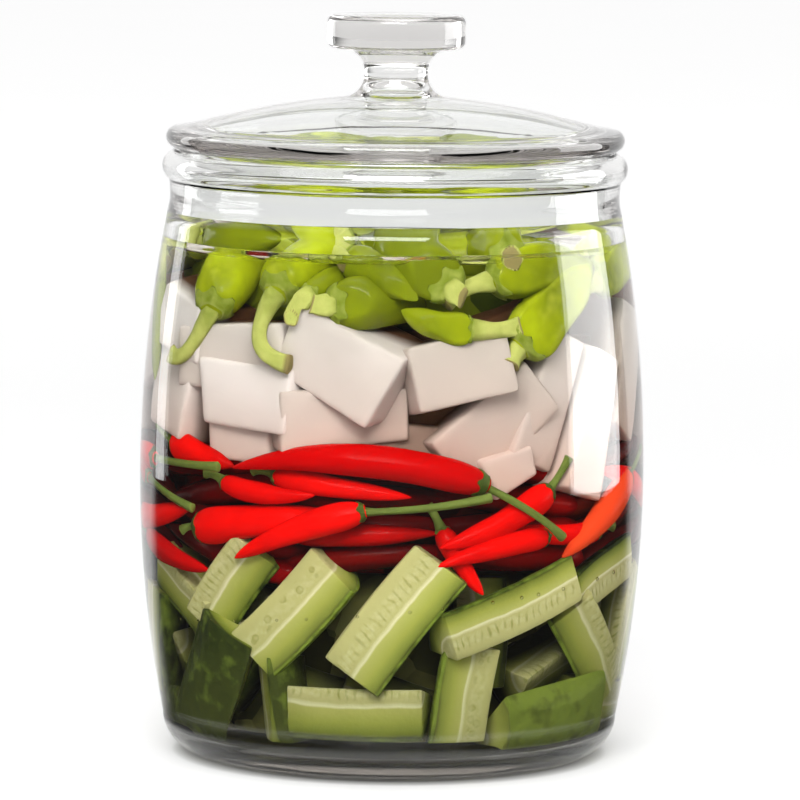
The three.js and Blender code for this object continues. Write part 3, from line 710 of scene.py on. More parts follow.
def core_surface(radius, bottom, top, lump, seed):
    """The inside of a layer: a drum with rounded rims whose side and top swell and sink in slow waves."""
    edge = 7.0
    profile = np.concatenate(
        [
            [[0, bottom], [radius * 0.35, bottom], [radius * 0.7, bottom]],
            arc(radius - edge, bottom + edge, edge, -90, 0, 5),
            np.stack([np.full(8, radius), np.linspace(bottom + edge + 1, top - edge - 1, 8)], axis=-1),
            arc(radius - edge, top - edge, edge, 0, 90, 5),
            [[radius * 0.7, top], [radius * 0.35, top], [0, top]],
        ]
    )
    shape = revolve(MM * profile, 72)
    across, along, up = shape.points.T / MM
    swell = np.sin(0.17 * across + seed) * np.sin(0.19 * along + 2 * seed) * np.cos(0.21 * up)
    scale = 1 + lump * swell / radius
    shape.points = shape.points * np.stack([scale, scale, np.ones_like(scale)], axis=-1)
    return shape


def bubble_surface(centre, radius):
    """A small ball: rings of radius r sin a at heights r cos a."""
    angle = np.linspace(0, np.pi, 9)
    profile = np.stack([radius * np.sin(angle), -radius * np.cos(angle)], axis=-1)
    shape = revolve(profile, 12)
    shape.points = shape.points + centre
    return shape


class Nodes:
    """A node tree with short ways to add and join nodes."""

    def __init__(self, owner):
        owner.use_nodes = True
        self.tree = owner.node_tree
        self.tree.nodes.clear()

    def add(self, kind, inputs=None, **settings):
        """A new node with its settings, and its inputs set or joined."""
        node = self.tree.nodes.new(kind)
        for name, value in settings.items():
            setattr(node, name, value)
        for name, value in (inputs or {}).items():
            if isinstance(value, bpy.types.NodeSocket):
                self.tree.links.new(value, node.inputs[name])
            else:
                node.inputs[name].default_value = value
        return node

    def math(self, operation, a, b=0.0):
        """The result of a sum on two values."""
        return self.add("ShaderNodeMath", {0: a, 1: b}, operation=operation).outputs[0]

    def times(self, a, b):
        """Two values multiplied."""
        return self.math("MULTIPLY", a, b)

    def plus(self, a, b):
        """Two values added."""
        return self.math("ADD", a, b)

    def less(self, a, b):
        """The first value less the second."""
        return self.math("SUBTRACT", a, b)

    def mix(self, factor, a, b):
        """A blend of two colours."""
        node = self.add("ShaderNodeMix", data_type="RGBA")
        for socket, value in ((node.inputs[0], factor), (node.inputs[6], a), (node.inputs[7], b)):
            if isinstance(value, bpy.types.NodeSocket):
                self.tree.links.new(value, socket)
            elif hasattr(value, "__len__"):
                socket.default_value = (*value, 1.0)
            else:
                socket.default_value = value
        return node.outputs[2]

    def span(self, value, start, stop, kind="LINEAR"):
        """How far a value has gone from a start to a stop, from 0 to 1."""
        inputs = {"Value": value, "From Min": start, "From Max": stop}
        return self.add("ShaderNodeMapRange", inputs, interpolation_type=kind).outputs[0]


class Finish(Nodes):
    """A material's nodes, with the values that a surface's colour and relief are made from."""

    def __init__(self, name):
        self.material = bpy.data.materials.new(name)
        super().__init__(self.material)
        self.place = self.add("ShaderNodeTexCoord").outputs["Object"]

    def parts(self):
        """The X, Y and Z of the place."""
        return self.add("ShaderNodeSeparateXYZ", {0: self.place}).outputs

    def cells(self, scale):
        """Uneven cells, scale of them to a metre, with the distance from each one's middle."""
        return self.add("ShaderNodeTexVoronoi", {"Vector": self.place, "Scale": scale}).outputs

    def mark(self, name):
        """A named value on the piece's points."""
        return self.add("ShaderNodeAttribute", attribute_name=name).outputs["Fac"]

    def noise(self, scale, detail=2.0, rough=0.5):
        """A cloudy value about one half, scale of them to a metre."""
        inputs = {"Vector": self.place, "Scale": scale, "Detail": detail, "Roughness": rough}
        return self.add("ShaderNodeTexNoise", inputs).outputs["Fac"]

    def ramp(self, factor, stops, smooth=False):
        """Colours at places along a factor, with the stops between blended."""
        node = self.add("ShaderNodeValToRGB", {"Fac": factor})
        node.color_ramp.interpolation = "EASE" if smooth else "LINEAR"
        elements = node.color_ramp.elements
        while len(elements) < len(stops):
            elements.new(1.0)
        for element, (place, shade) in zip(elements, stops):
            element.position = place
            element.color = (*shade, 1.0) if hasattr(shade, "__len__") else (shade, shade, shade, 1.0)
        return node.outputs["Color"]

    def painted_depth_shade(self, base, dark, shallow, deep):
        """Painted shade: the base colour at a distance from the crock's axis, turning dark further in: both
        in metres.
        """
        place = self.parts()
        across = self.times(place["X"], place["X"])
        out = self.math("SQRT", self.plus(across, self.times(place["Y"], place["Y"])))
        return self.mix(self.span(out, shallow, deep), base, dark)

    def bump(self, height, depth, strength=1.0):
        """A normal that follows a height in metres."""
        inputs = {"Height": height, "Distance": depth, "Strength": strength}
        return self.add("ShaderNodeBump", inputs).outputs[0]

    def absorb(self, tint, density):
        """A body that turns to a tint with depth."""
        inputs = {"Color": (*tint, 1.0), "Density": density}
        return self.add("ShaderNodeVolumeAbsorption", inputs).outputs[0]

    def solid(self, base, roughness, normal, ior=1.3):
        """The wet solid surface of a vegetable, and the finished material."""
        inputs = {"Base Color": base, "Roughness": roughness, "Normal": normal, "IOR": ior}
        shader = self.add("ShaderNodeBsdfPrincipled", inputs)
        return self.output(shader.outputs[0])

    def clear(self, base, normal, ior, lamp_tint, volume=None):
        """A clear body that bends light but lets lamps shine straight in, and the finished material."""
        inputs = {"Base Color": base, "Normal": normal, "IOR": ior}
        inputs |= {"Roughness": 0.0, "Transmission Weight": 1.0}
        body = self.add("ShaderNodeBsdfPrincipled", inputs)
        open_way = self.add("ShaderNodeBsdfTransparent", {"Color": (*lamp_tint, 1.0)})
        lamp = self.add("ShaderNodeLightPath").outputs["Is Shadow Ray"]
        both = self.add("ShaderNodeMixShader", {0: lamp, 1: body.outputs[0], 2: open_way.outputs[0]})
        return self.output(both.outputs[0], volume)

    def output(self, surface, volume=None):
        """Joins the shader to the material's output."""
        inputs = {"Surface": surface}
        if volume is not None:
            inputs["Volume"] = volume
        self.add("ShaderNodeOutputMaterial", inputs)
        return self.material


def glass_finish(name, glass, density):
    """Clear pressed glass: a faint unevenness of the surface and of its clearness."""
    finish = Finish(name)
    base = finish.mix(finish.noise(14, 1), glass.clear, glass.milky)
    normal = finish.bump(finish.noise(32, 1), 0.0006, 0.25)
    volume = finish.absorb(glass.thick, density)
    return finish.clear(base, normal, 1.5, (0.97, 0.98, 0.975), volume)


def brine_finish(brine):
    """Clear brine, a little fuller in places, that takes colour with depth."""
    finish = Finish("brine")
    base = finish.mix(finish.noise(9, 2), brine.clear, brine.cloudy)
    normal = finish.bump(finish.noise(18, 1), 0.0005, 0.15)
    volume = finish.absorb(brine.absorbed, brine.density)
    return finish.clear(base, normal, 1.333, (0.985, 0.985, 0.97), volume)


def bubble_finish():
    """Air in brine: bends light the other way, with a faint unevenness."""
    finish = Finish("air_bubble")
    base = finish.mix(finish.noise(200, 1), (1.0, 1.0, 1.0), (0.95, 0.96, 0.96))
    normal = finish.bump(finish.noise(300, 1), 0.0001, 0.1)
    return finish.clear(base, normal, 0.76, (0.95, 0.95, 0.95))


def cucumber_finish(look):
    """Cut cucumber: a bed with rows of seeds, a pale line, flesh that turns green, and dark bumpy skin,
    with painted shade towards the bottom and further in from the glass.
    """
    finish = Finish("cut_cucumber")
    fine = finish.noise(420, 3)
    slow = finish.noise(70, 2)
    rho = finish.plus(finish.mark("rho"), finish.times(finish.less(slow, 0.5), 0.10))
    tone = finish.mark("tone")
    along = finish.mark("along")
    flesh = finish.ramp(
        rho,
        [
            (0.0, look.core),
            (0.47, look.core),
            (0.53, look.line),
            (0.56, look.flesh),
            (0.74, look.mid),
            (0.90, look.green),
            (0.94, look.skin),
        ],
    )
    wander = finish.times(finish.less(slow, 0.5), 2.6)
    row = finish.plus(finish.math("DIVIDE", along, 3.1), finish.plus(wander, rho))
    beside = finish.math("ABSOLUTE", finish.less(finish.math("FRACT", row), 0.5))
    in_bed = finish.ramp(rho, [(0.16, 0.0), (0.27, 1.0), (0.38, 1.0), (0.47, 0.0)], True)
    here = finish.times(in_bed, finish.ramp(finish.noise(150, 2), [(0.36, 0.15), (0.62, 1.0)], True))
    gap = finish.times(finish.ramp(beside, [(0.26, 0.0), (0.46, 0.9)], True), here)
    streak = finish.times(finish.ramp(fine, [(0.40, 0.0), (0.75, 0.4)]), in_bed)
    loose = finish.span(tone, 0.78, 0.88)
    rows = finish.times(gap, finish.less(1.0, loose))
    seeds = finish.cells(230.0)["Distance"]
    oval = finish.ramp(seeds, [(0.16, 0.35), (0.34, 0.75), (0.42, 0.0)], True)
    strewn = finish.times(finish.times(oval, loose), in_bed)
    holes = finish.plus(rows, strewn)
    seeded = finish.mix(streak, finish.mix(holes, flesh, look.seed), look.line)
    cut = finish.mix(finish.times(tone, 0.2), seeded, look.flesh)
    paler = finish.times(finish.less(tone, 0.5), 0.4)
    mottle = finish.plus(finish.noise(120, 3), paler)
    stripe = finish.ramp(mottle, [(0.38, look.skin), (0.66, look.skin_pale)])
    on_skin = finish.ramp(finish.mark("rho"), [(0.93, 0.0), (0.95, 1.0)])
    # Painted shade: lower down, the sticks turn towards a dull dark colour, where less light reaches.
    level = finish.parts()["Z"]
    low = finish.times(finish.span(level, 0.07, 0.012), 0.5)
    painted_low_shade = finish.mix(low, finish.mix(on_skin, cut, stripe), look.painted_low_shade)
    # Painted shade: sticks further in from the glass turn to the shade colour.
    base = finish.painted_depth_shade(painted_low_shade, look.shade, 0.077, 0.063)
    rough = finish.ramp(fine, [(0.3, 0.28), (0.7, 0.5)])
    warts = finish.cells(190.0)["Distance"]
    height = finish.plus(finish.times(warts, on_skin), finish.times(fine, 0.4))
    return finish.solid(base, rough, finish.bump(height, 0.0012, 0.5), 1.12)


def chilli_finish(look):
    """Ripe chilli skin: red with deeper and more orange stretches, faint folds along it, and painted shade
    on the pods further in from the glass.
    """
    finish = Finish("red_chilli_skin")
    tone = finish.mark("tone")
    patch = finish.noise(60, 3)
    darker = finish.plus(finish.ramp(patch, [(0.35, 0.0), (0.7, 0.5)]), finish.span(tone, 0.3, 0.1))
    red = finish.mix(finish.math("MINIMUM", darker, 1.0), look.red, look.deep)
    ripe = finish.mix(finish.ramp(tone, [(0.72, 0.0), (1.0, 0.75)]), red, look.orange)
    # Painted shade: pods further in from the glass turn to the shade colour.
    base = finish.painted_depth_shade(ripe, look.shade, 0.085, 0.076)
    rough = finish.ramp(finish.noise(240, 2), [(0.3, 0.10), (0.7, 0.22)])
    return finish.solid(base, rough, finish.bump(finish.noise(170, 3), 0.0007, 0.25), 1.15)


def stalk_finish(name, pale, dark, cut, tip):
    """Green stalk and calyx, paler along the ridges, browned at the cut and dark at the teeth's tips."""
    finish = Finish(name)
    streak = finish.noise(260, 3)
    further = finish.ramp(finish.mark("along"), [(0.42, 0.0), (0.66, 0.75)], True)
    paler = finish.plus(further, finish.ramp(streak, [(0.35, 0.0), (0.75, 0.35)]))
    green = finish.mix(finish.math("MINIMUM", paler, 1.0), dark, pale)
    ended = finish.mix(finish.ramp(finish.mark("along"), [(0.975, 0.0), (0.992, 1.0)]), green, cut)
    base = finish.mix(finish.ramp(finish.mark("rim"), [(0.55, 0.0), (0.8, 1.0)]), ended, tip)
    rough = finish.ramp(streak, [(0.3, 0.35), (0.7, 0.6)])
    return finish.solid(base, rough, finish.bump(streak, 0.0009, 0.5), 1.15)


def pepper_finish(look):
    """Pale green pepper skin: yellow-green with greener and paler patches, taut and glossy."""
    finish = Finish("green_pepper_skin")
    tone = finish.mark("tone")
    patch = finish.noise(42, 3)
    green = finish.mix(finish.ramp(patch, [(0.38, 0.0), (0.72, 0.9)]), look.bright, look.deep)
    paler = finish.mix(finish.ramp(finish.noise(85, 2), [(0.55, 0.0), (0.8, 0.6)]), green, look.pale)
    base = finish.mix(tone, paler, look.deep)
    rough = finish.ramp(finish.noise(210, 2), [(0.3, 0.08), (0.7, 0.2)])
    return finish.solid(base, rough, finish.bump(finish.noise(120, 3), 0.0008, 0.25), 1.25)


def radish_finish(look):
    """Wet white radish: faint fibres, duller patches, painted shade set by each block's tone and further in
    from the glass, and a painted pink bounce of light from the chillies that fades upwards.
    """
    finish = Finish("white_radish")
    tone = finish.mark("tone")
    cloud = finish.noise(55, 3)
    fibre = finish.noise(480, 3, 0.7)
    flesh = finish.mix(finish.ramp(cloud, [(0.35, 0.0), (0.75, 0.4)]), look.white, look.shade)
    # Painted shade: each block's tone blends its flesh towards the shade colour, block by block.
    flesh = finish.mix(tone, flesh, look.shade)
    # Painted reflected light: a pink from the chillies below, strongest low in the layer and gone higher
    # up.
    height = finish.parts()["Z"]
    level = finish.plus(height, finish.times(cloud, 0.02))
    chilli_bounce_share = finish.ramp(finish.times(level, 4.0), [(0.50, 0.9), (0.62, 0.25), (0.72, 0.0)])
    # Painted shade: blocks further in from the glass turn to the deep colour.
    base = finish.painted_depth_shade(finish.mix(chilli_bounce_share, flesh, look.painted_chilli_bounce), look.deep, 0.080, 0.071)
    rough = finish.ramp(fibre, [(0.3, 0.3), (0.7, 0.48)])
    return finish.solid(base, rough, finish.bump(fibre, 0.0004, 0.12), 1.12)


def core_finish(name, dark, light):
    """What lies deep in a layer: the layer's colour in deep shade, in blotches of the pieces' size."""
    finish = Finish(name)
    blotch = finish.cells(55.0)["Color"]
    cloud = finish.noise(60, 2)
    base = finish.mix(finish.ramp(blotch, [(0.2, 0.0), (0.9, 1.0)]), dark, light)
    return finish.solid(base, 0.6, finish.bump(cloud, 0.004, 0.6), 1.05)


def make_object(name, surface, material):
    """The surface as an object of the scene, with its named values on the points."""
    mesh = bpy.data.meshes.new(name)
    sizes = np.concatenate([np.full(len(surface.quads), 4), np.full(len(surface.tris), 3)])
    corners = np.concatenate([surface.quads.ravel(), surface.tris.ravel()])
    mesh.vertices.add(len(surface.points))
    mesh.vertices.foreach_set("co", surface.points.astype(np.float32).ravel())
    mesh.loops.add(len(corners))
    mesh.loops.foreach_set("vertex_index", corners.astype(np.int32))
    mesh.polygons.add(len(sizes))
    mesh.polygons.foreach_set("loop_start", (np.cumsum(sizes) - sizes).astype(np.int32))
    mesh.update(calc_edges=True)
    if mesh.validate():
        raise RuntimeError(f"{name} has faces that Blender had to mend")
    for mark, values in surface.marks.items():
        mesh.attributes.new(mark, "FLOAT", "POINT").data.foreach_set("value", values.astype(np.float32))
    mesh.materials.append(material)
    made = bpy.data.objects.new(name, mesh)
    bpy.context.scene.collection.objects.link(made)
    return made


def put_piece(name, surface, material, replaces=(), sharp=180.0):
    """Makes a smooth object that rides on the crock, stands for CAD nodes and takes a slot's finish."""
    piece = make_object(name, surface, material)
    piece.data.shade_smooth()
    if sharp < 180:
        piece.data.set_sharp_from_angle(angle=math.radians(sharp))
    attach(piece, BODY)
    if replaces:
        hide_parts(*replaces)


def put_core(layer, look):
    """Makes what lies deep in a layer."""
    finish = core_finish(f"deep_{layer}", look.inner_dark, look.inner_light)
    put_piece(f"{layer}_core", core_surface(**CORES[layer]), finish)


def put_pods(layer, pieces, stalked, seed, kind, glass, skin, stalk):
    """Makes a layer's pods, and in a piece of their own the caps and stalks of those that show them."""
    pods = [pod_surface(piece, i + seed, kind) for i, piece in enumerate(pieces)]
    put_piece(f"{layer}_pods", packed(pods, glass), skin, [f"{layer}_heap"])
    caps = [calyx_surface(piece, i + seed, kind) for i, piece in enumerate(stalked)]
    stems = [stalk_surface(piece, i, kind) for i, piece in enumerate(stalked)]
    put_piece(f"{layer}_stalks", packed(caps + stems, glass, STALK_GAP), stalk)


def stick(around, out, up, rise, long, **more):
    """Where a cucumber stick lies: its rise in degrees, its length, and what is special to it."""
    return {"round": around, "out": out, "up": up, "rise": rise, "long": long, **more}


def block(around, out, up, wide, tall, deep, **more):
    """Where the outer face of a radish block lies, the block's three sizes, and what is special to it."""
    return {"round": around, "out": out, "up": up, "wide": wide, "tall": tall, "deep": deep, **more}


def pod(tip, stem, thick, **more):
    """Where a pod's tip and stem end lie, its thickness, and what is special to it."""
    return {"tip": tip, "stem": stem, "thick": thick, **more}


CUCUMBER_FRONT = [
    stick(-45, 82, 72, 51, 40, spin=25),
    stick(-25, 84, 64, 47, 48, size=1.1, trim=0.0, tone=0.9),
    stick(1, 86, 64, 53, 54, size=1.15, trim=0.0),
    stick(-9, 82, 27, 0, 50, size=0.95, trim=0.3),
    stick(20, 80, 33, -98, 40, trim=0.05),
    stick(33, 84, 66, 200, 58, size=0.9, trim=0.0),
    stick(68, 82, 76, 196, 42, size=0.85, trim=0.0),
    stick(62, 83, 46, -50, 48, spin=35),
    stick(86, 82, 55, 65, 44, size=0.9),
    stick(50, 69, 28, 6, 54, spin=230, size=1.3, tone=1.0),
    stick(-57, 72, 38, 62, 52, spin=230, size=1.15, tone=0.1),
    stick(-34, 79, 30, 96, 34, spin=-50, size=0.8),
    stick(-66, 80, 66, -28, 40, spin=20, size=0.9),
    stick(-86, 82, 42, 80, 50),
    stick(-80, 71, 22, 6, 48, spin=230),
    stick(80, 74, 22, -4, 46, spin=30),
]
CUCUMBER_BACK = [
    stick(
        110 + (i % 5) * 33 + 10 * spread(i),
        (71 if i % 3 == 2 else 80) + 3 * spread(i, 1),
        28 if i < 5 else 62,
        (60 if i % 2 else -15) + 50 * spread(i, 2),
        40 + 12 * spread(i, 4),
        spin=230 if i % 3 == 2 else 20 * spread(i, 3),
        size=0.9 + 0.25 * spread(i, 5),
    )
    for i in range(10)
]
CUCUMBER_INNER = [
    stick(
        26 * i + 8 * spread(i),
        66 + 3 * spread(i, 1),
        24 + 44 * spread(i, 2),
        180 * spread(i, 3),
        42 + 8 * spread(i, 5),
        spin=60 * spread(i, 4) - 20,
        size=0.9,
    )
    for i in range(14)
]

CHILLI_FRONT = [
    pod((-42, 86, 118), (24, 86, 114), 14, bow=8, cut=(44, 91, 93), by=(34, 91, 104), tone=0.1),
    pod((-41, 86, 84), (-6, 86, 105), 11, bow=2, cut=(24, 90, 110), cut_bow=-1, tone=0.5),
    pod((-10, 78, 101), (-56, 84, 93), 14, bow=2, tone=0.5),
    pod((-19, 84, 110), (-47, 82, 112), 9, bow=-2),
    pod((-44, 80, 118), (-67, 84, 124), 11, cut=(-76, 84, 129), tone=0.5),
    pod((-116, 84, 104), (-76, 85, 116), 11, bow=4, cut=(-45, 89, 118)),
    pod((-112, 82, 122), (-80, 86, 108), 10, cut=(-54, 89, 101)),
    pod((12, 85, 91), (43, 84, 111), 11, bow=-2, cut=(47, 88, 123), tone=0.4),
    pod((11, 87, 84), (42, 84, 93), 10, bow=2, tone=0.6),
    pod((23, 87, 73), (13, 78, 98), 8, bow=-1, tone=0.3),
    pod((28, 80, 98), (62, 84, 93), 9, bow=-2),
    pod((46, 86, 85), (77, 86, 112), 13, cut=(88, 86, 120), tone=0.95),
    pod((5, 84, 110), (-32, 80, 116), 9, tone=0.5),
    pod((13, 78, 96), (-27, 75, 94), 10),
    pod((-50, 85, 78), (-84, 84, 86), 10, bow=-1),
    pod((-55, 86, 102), (-92, 84, 92), 10, bow=-2),
    pod((60, 84, 116), (96, 84, 98), 10, bow=3),
]


def lying_chilli(start, turn, outs, level, slant, thick, bow, turned):
    """A chilli along the wall from a start through a turn in degrees, slanted up, or turned end for end."""
    ends = [(start, outs[0], level - slant), (start + turn, outs[1], level + slant)]
    tip, stem = ends[::-1] if turned else ends
    return pod(tip, stem, thick, bow=bow)


def chilli_row(i):
    """A chilli of the three rows round the back, which slant one way and then the other."""
    start = 100 + (i % 3) * 52 + 12 * spread(i)
    level = 86 + 13 * (i // 3) + 4 * spread(i, 5)
    slant = 20 * (spread(i, 1) - 0.5)
    turn = 48 + 12 * spread(i, 2)
    return lying_chilli(start, turn, (84, 85), level, slant, 9 + 4 * spread(i, 3), 4 * spread(i, 4), i % 2)


def chilli_inner(i):
    """A chilli of the rows behind the ones at the glass, all the way round."""
    start = 45 * (i % 8) + 12 * spread(i)
    level = 84 + 11 * (i // 8)
    slant = 16 * (spread(i, 1) - 0.5)
    turn = 52 + 14 * spread(i, 2)
    return lying_chilli(start, turn, (71, 73), level, slant, 11 + 3 * spread(i, 3), 3 * spread(i, 4), i % 2)


CHILLI_BACK = [chilli_row(i) for i in range(9)]
CHILLI_INNER = [chilli_inner(i) for i in range(32)]

# A block's tone is how much painted shade its flesh takes, from the white to the shade colour.
RADISH_FRONT = [
    block(-39, 84, 145, 42, 24, 30, tone=0.0, lean=-4),
    block(-12, 87, 160, 44, 28, 30, tone=0.5, rise=-27, lean=-10, spin=9),
    block(17, 88, 157, 40, 24, 30, tone=0.8, rise=14, spin=-5),
    block(-43, 81, 129, 30, 16, 26, tone=0.2, rise=4),
    block(-16, 81, 138, 48, 23, 28, tone=0.65, rise=4, lean=20),
    block(28.5, 82, 136, 48, 27, 28, tone=0.7, rise=42, lean=-5),
    block(43, 84, 145, 52, 20, 28, tone=0.4, rise=69),
    block(57, 87, 135, 56, 21, 26, tone=0.0, rise=72, spin=8),
    block(31, 84.5, 120, 22, 15, 22, tone=0.2, rise=20),
    block(-67, 84, 169, 34, 22, 26, tone=0.1, rise=-14),
    block(-70, 84, 144, 36, 30, 26, tone=0.1, rise=82, lean=10),
    block(6, 74, 125, 36, 22, 20, tone=1.0, rise=-8),
    block(80, 84, 152, 50, 26, 28, rise=66),
    block(-96, 84, 154, 40, 28, 28, rise=20),
    block(-46, 82, 159, 50, 26, 26, tone=0.5, rise=3),
]
RADISH_BACK = [
    block(
        110 + (i % 5) * 33 + 8 * spread(i),
        83 + 3 * spread(i, 1),
        (133 if i < 5 else 159) + 4 * spread(i, 2),
        38 + 12 * spread(i, 5),
        22 + 6 * spread(i, 6),
        28,
        rise=90 * spread(i, 3) - 30,
        lean=24 * spread(i, 4) - 12,
    )
    for i in range(10)
]
RADISH_INNER = [
    block(30 * i + 10 * spread(i), 68, 132 + 32 * spread(i, 1), 40, 26, 24, rise=90 * spread(i, 2) - 45)
    for i in range(12)
]

PEPPER_FRONT = [
    pod((-60, 43, 196), (-52, 84, 175), 23, tone=0.0, bow=6, cut=(-66, 89, 158), by=(-59, 87, 160)),
    pod((-26, 44, 200), (-31, 83, 184), 20, tone=0.2, bow=4, cut=(-25, 89, 159), by=(-34, 87, 167)),
    pod((-14, 46, 190), (-22, 85, 183), 12, tone=0.7, bow=2),
    pod((10, 60, 178), (-16, 86, 181), 20, tone=0.8, bow=2, cut=(-20, 88, 182)),
    pod((6, 86, 184), (-14, 64, 197), 15, tone=0.75, bow=2),
    pod((-6, 52, 203), (15, 86, 187), 22, tone=0.9, bow=4, cut=(17, 88.5, 185)),
    pod((2, 83, 180), (20, 86, 173), 12, tone=0.45, bow=-2, cut=(32, 88, 174), cut_bow=-1),
    pod((40, 44, 200), (31, 84, 199), 18, tone=0.7, bow=1, cut=(31, 87, 199)),
    pod((64, 78, 190), (26, 79, 189), 20, tone=0.5, bow=5),
    pod((60, 81, 194), (32, 85, 165), 22, tone=0.1, bow=2, cut=(29, 88, 159)),
    pod((104, 78, 196), (64, 80, 186), 21, tone=0.05, bow=3),
    pod((-76, 88, 146), (-84, 82, 184), 11, tone=0.6, bow=2),
    pod((-40, 66, 203), (-76, 70, 199), 17, tone=0.8, bow=1),
]


def pepper_back(i):
    """A pepper of the ring round the back: one along the wall, the next pointing inwards."""
    start = 106 + i * 23 + 8 * spread(i)
    turn, out = (34, 76) if i % 2 else (12, 46)
    tip = (start, 80, 178 + 8 * spread(i, 1))
    return pod(tip, (start + turn, out, 188 + 12 * spread(i, 2)), 18 + 5 * spread(i, 3), bow=4)


def pepper_top(i):
    """A pepper of those that lie across the middle of the top."""
    tip = (72 * i, 8 + 20 * spread(i), 190 + 4 * spread(i, 3))
    return pod(tip, (72 * i + 50, 58, 192 + 6 * spread(i, 1)), 20 + 4 * spread(i, 2), bow=3)


PEPPER_BACK = [pepper_back(i) for i in range(7)]
PEPPER_TOP = [pepper_top(i) for i in range(5)]


class CROCK_OT_stage(bpy.types.Operator):
    """Sets up the floor, the light and the camera"""

    bl_idname = "crock.stage"
    bl_label = "Stage"

    def execute(self, context):
        look = context.scene.crock_stage
        self.make_floor(look)
        self.make_world(context.scene, look)
        self.make_lamps()
        self.make_camera(context.scene, look)
        self.set_light_paths(context.scene)
        return {"FINISHED"}

    def make_floor(self, look):
        """A wide flat disc just under the crock."""
        finish = Finish("pale_floor")
        base = finish.mix(finish.noise(3, 2), look.floor, tuple(0.985 * c for c in look.floor))
        normal = finish.bump(finish.noise(40, 2), 0.0004, 0.1)
        away = finish.add("ShaderNodeVectorMath", {0: finish.place}, operation="LENGTH").outputs["Value"]
        under_jar = finish.span(away, look.contact_edge, look.contact_radius)
        shaded = finish.mix(under_jar, base, look.contact)
        pale = finish.add("ShaderNodeBsdfDiffuse", {"Color": shaded, "Normal": normal})
        dim = finish.add("ShaderNodeBsdfDiffuse", {"Color": (*look.mirrored, 1.0)})
        path = finish.add("ShaderNodeLightPath")
        place = finish.parts()
        aside = finish.math("ABSOLUTE", place["X"])
        behind = finish.less(place["Y"], aside)
        ahead = finish.span(behind, 0.02, -0.1)
        off = finish.times(finish.span(away, 0.105, 0.125), ahead)
        mirrored = finish.times(finish.math("MINIMUM", path.outputs["Glossy Depth"], 1.0), off)
        glow = finish.times(finish.span(away, 0.6, 2.6), look.floor_glow)
        far = finish.add("ShaderNodeEmission", {"Color": base, "Strength": glow})
        lit = finish.add("ShaderNodeAddShader", {0: pale.outputs[0], 1: far.outputs[0]})
        both = finish.add("ShaderNodeMixShader", {0: mirrored, 1: lit.outputs[0], 2: dim.outputs[0]})
        material = finish.output(both.outputs[0])
        radius = np.array([0.0, 0.3, 1.0, 3.0, 9.0, 24.0])
        top = np.stack([radius, 0 * radius - 0.0002], axis=-1)
        under = np.array([[24.0, -0.05], [0.0, -0.05]])
        shape = revolve(np.concatenate([under[::-1], top[::-1]]), 96)
        floor = make_object("floor", shape, material)
        floor.data.shade_flat()

    def make_world(self, scene, look):
        """Soft light, bright from straight behind and above, dim from the sides and from the front."""
        scene.world = bpy.data.worlds.new("studio")
        light = Nodes(scene.world)
        way = light.add("ShaderNodeTexCoord").outputs["Generated"]
        part = light.add("ShaderNodeSeparateXYZ", {0: way}).outputs
        above = light.plus(light.times(part["Z"], 0.9), part["Y"])
        facing = light.less(above, light.math("ABSOLUTE", part["X"]))
        shade = light.mix(light.span(facing, -0.35, 0.45, "SMOOTHSTEP"), look.room, look.sky)
        back = light.add("ShaderNodeBackground", {"Color": shade, "Strength": look.sky_strength})
        light.add("ShaderNodeOutputWorld", {"Surface": back.outputs[0]})

    def make_lamps(self):
        """Soft boxes high in front and overhead, and two upright panels that only the glass mirrors."""
        aim = Vector((0, 0, 0.12))
        boxes = {
            "front": ((-0.12, -1.6, 1.2), (1.3, 0.7), 36.0, True),
            "overhead": ((-0.1, -0.2, 2.2), (2.4, 2.4), 20.0, True),
            "window": ((0.92, 0.24, 0.3), (0.6, 0.6), 5.5, False),
            "strip": ((-0.76, 0.57, 0.3), (0.16, 0.6), 0.8, False),
        }
        for name, (place, size, power, lights_food) in boxes.items():
            lamp = bpy.data.lights.new(name, "AREA")
            lamp.shape = "RECTANGLE"
            lamp.size, lamp.size_y = size
            lamp.energy = power
            holder = bpy.data.objects.new(name, lamp)
            holder.location = place
            target = aim if lights_food else Vector((0, 0, place[2]))
            holder.rotation_euler = (target - Vector(place)).to_track_quat("-Z", "Y").to_euler()
            holder.visible_camera = False
            holder.visible_diffuse = lights_food
            holder.visible_glossy = name != "overhead"
            bpy.context.scene.collection.objects.link(holder)

    def make_camera(self, scene, look):
        """A long lens that looks slightly down, turned a little about its line of sight."""
        camera = bpy.data.cameras.new("camera")
        camera.lens = look.lens
        camera.sensor_width = 36.0
        camera.clip_end = 100.0
        holder = bpy.data.objects.new("camera", camera)
        eye, aim = Vector(look.eye), Vector(look.aim)
        turn = (aim - eye).to_track_quat("-Z", "Y").to_matrix()
        turn = turn @ Matrix.Rotation(math.radians(look.roll), 3, "Z")
        holder.location = eye
        holder.rotation_euler = turn.to_euler()
        scene.collection.objects.link(holder)
        scene.camera = holder

    def set_light_paths(self, scene):
        """Enough bounces for light to pass glass and brine twice, and plain colour with no film look."""
        scene.cycles.max_bounces = 16
        scene.cycles.transmission_bounces = 16
        scene.cycles.transparent_max_bounces = 20
        scene.cycles.glossy_bounces = 16
        scene.cycles.diffuse_bounces = 2
        scene.cycles.sample_clamp_indirect = 6.0
        scene.view_settings.view_transform = "Standard"


class CROCK_OT_jar(bpy.types.Operator):
    """Makes the jar's glass"""

    bl_idname = "crock.jar"
    bl_label = "Jar"

    def execute(self, context):
        glass = context.scene.crock_glass
        finish = glass_finish("jar_glass", glass, glass.jar_density)
        put_piece("jar_glass", revolve(jar_profile(glass)), finish, ["jar"])
        return {"FINISHED"}


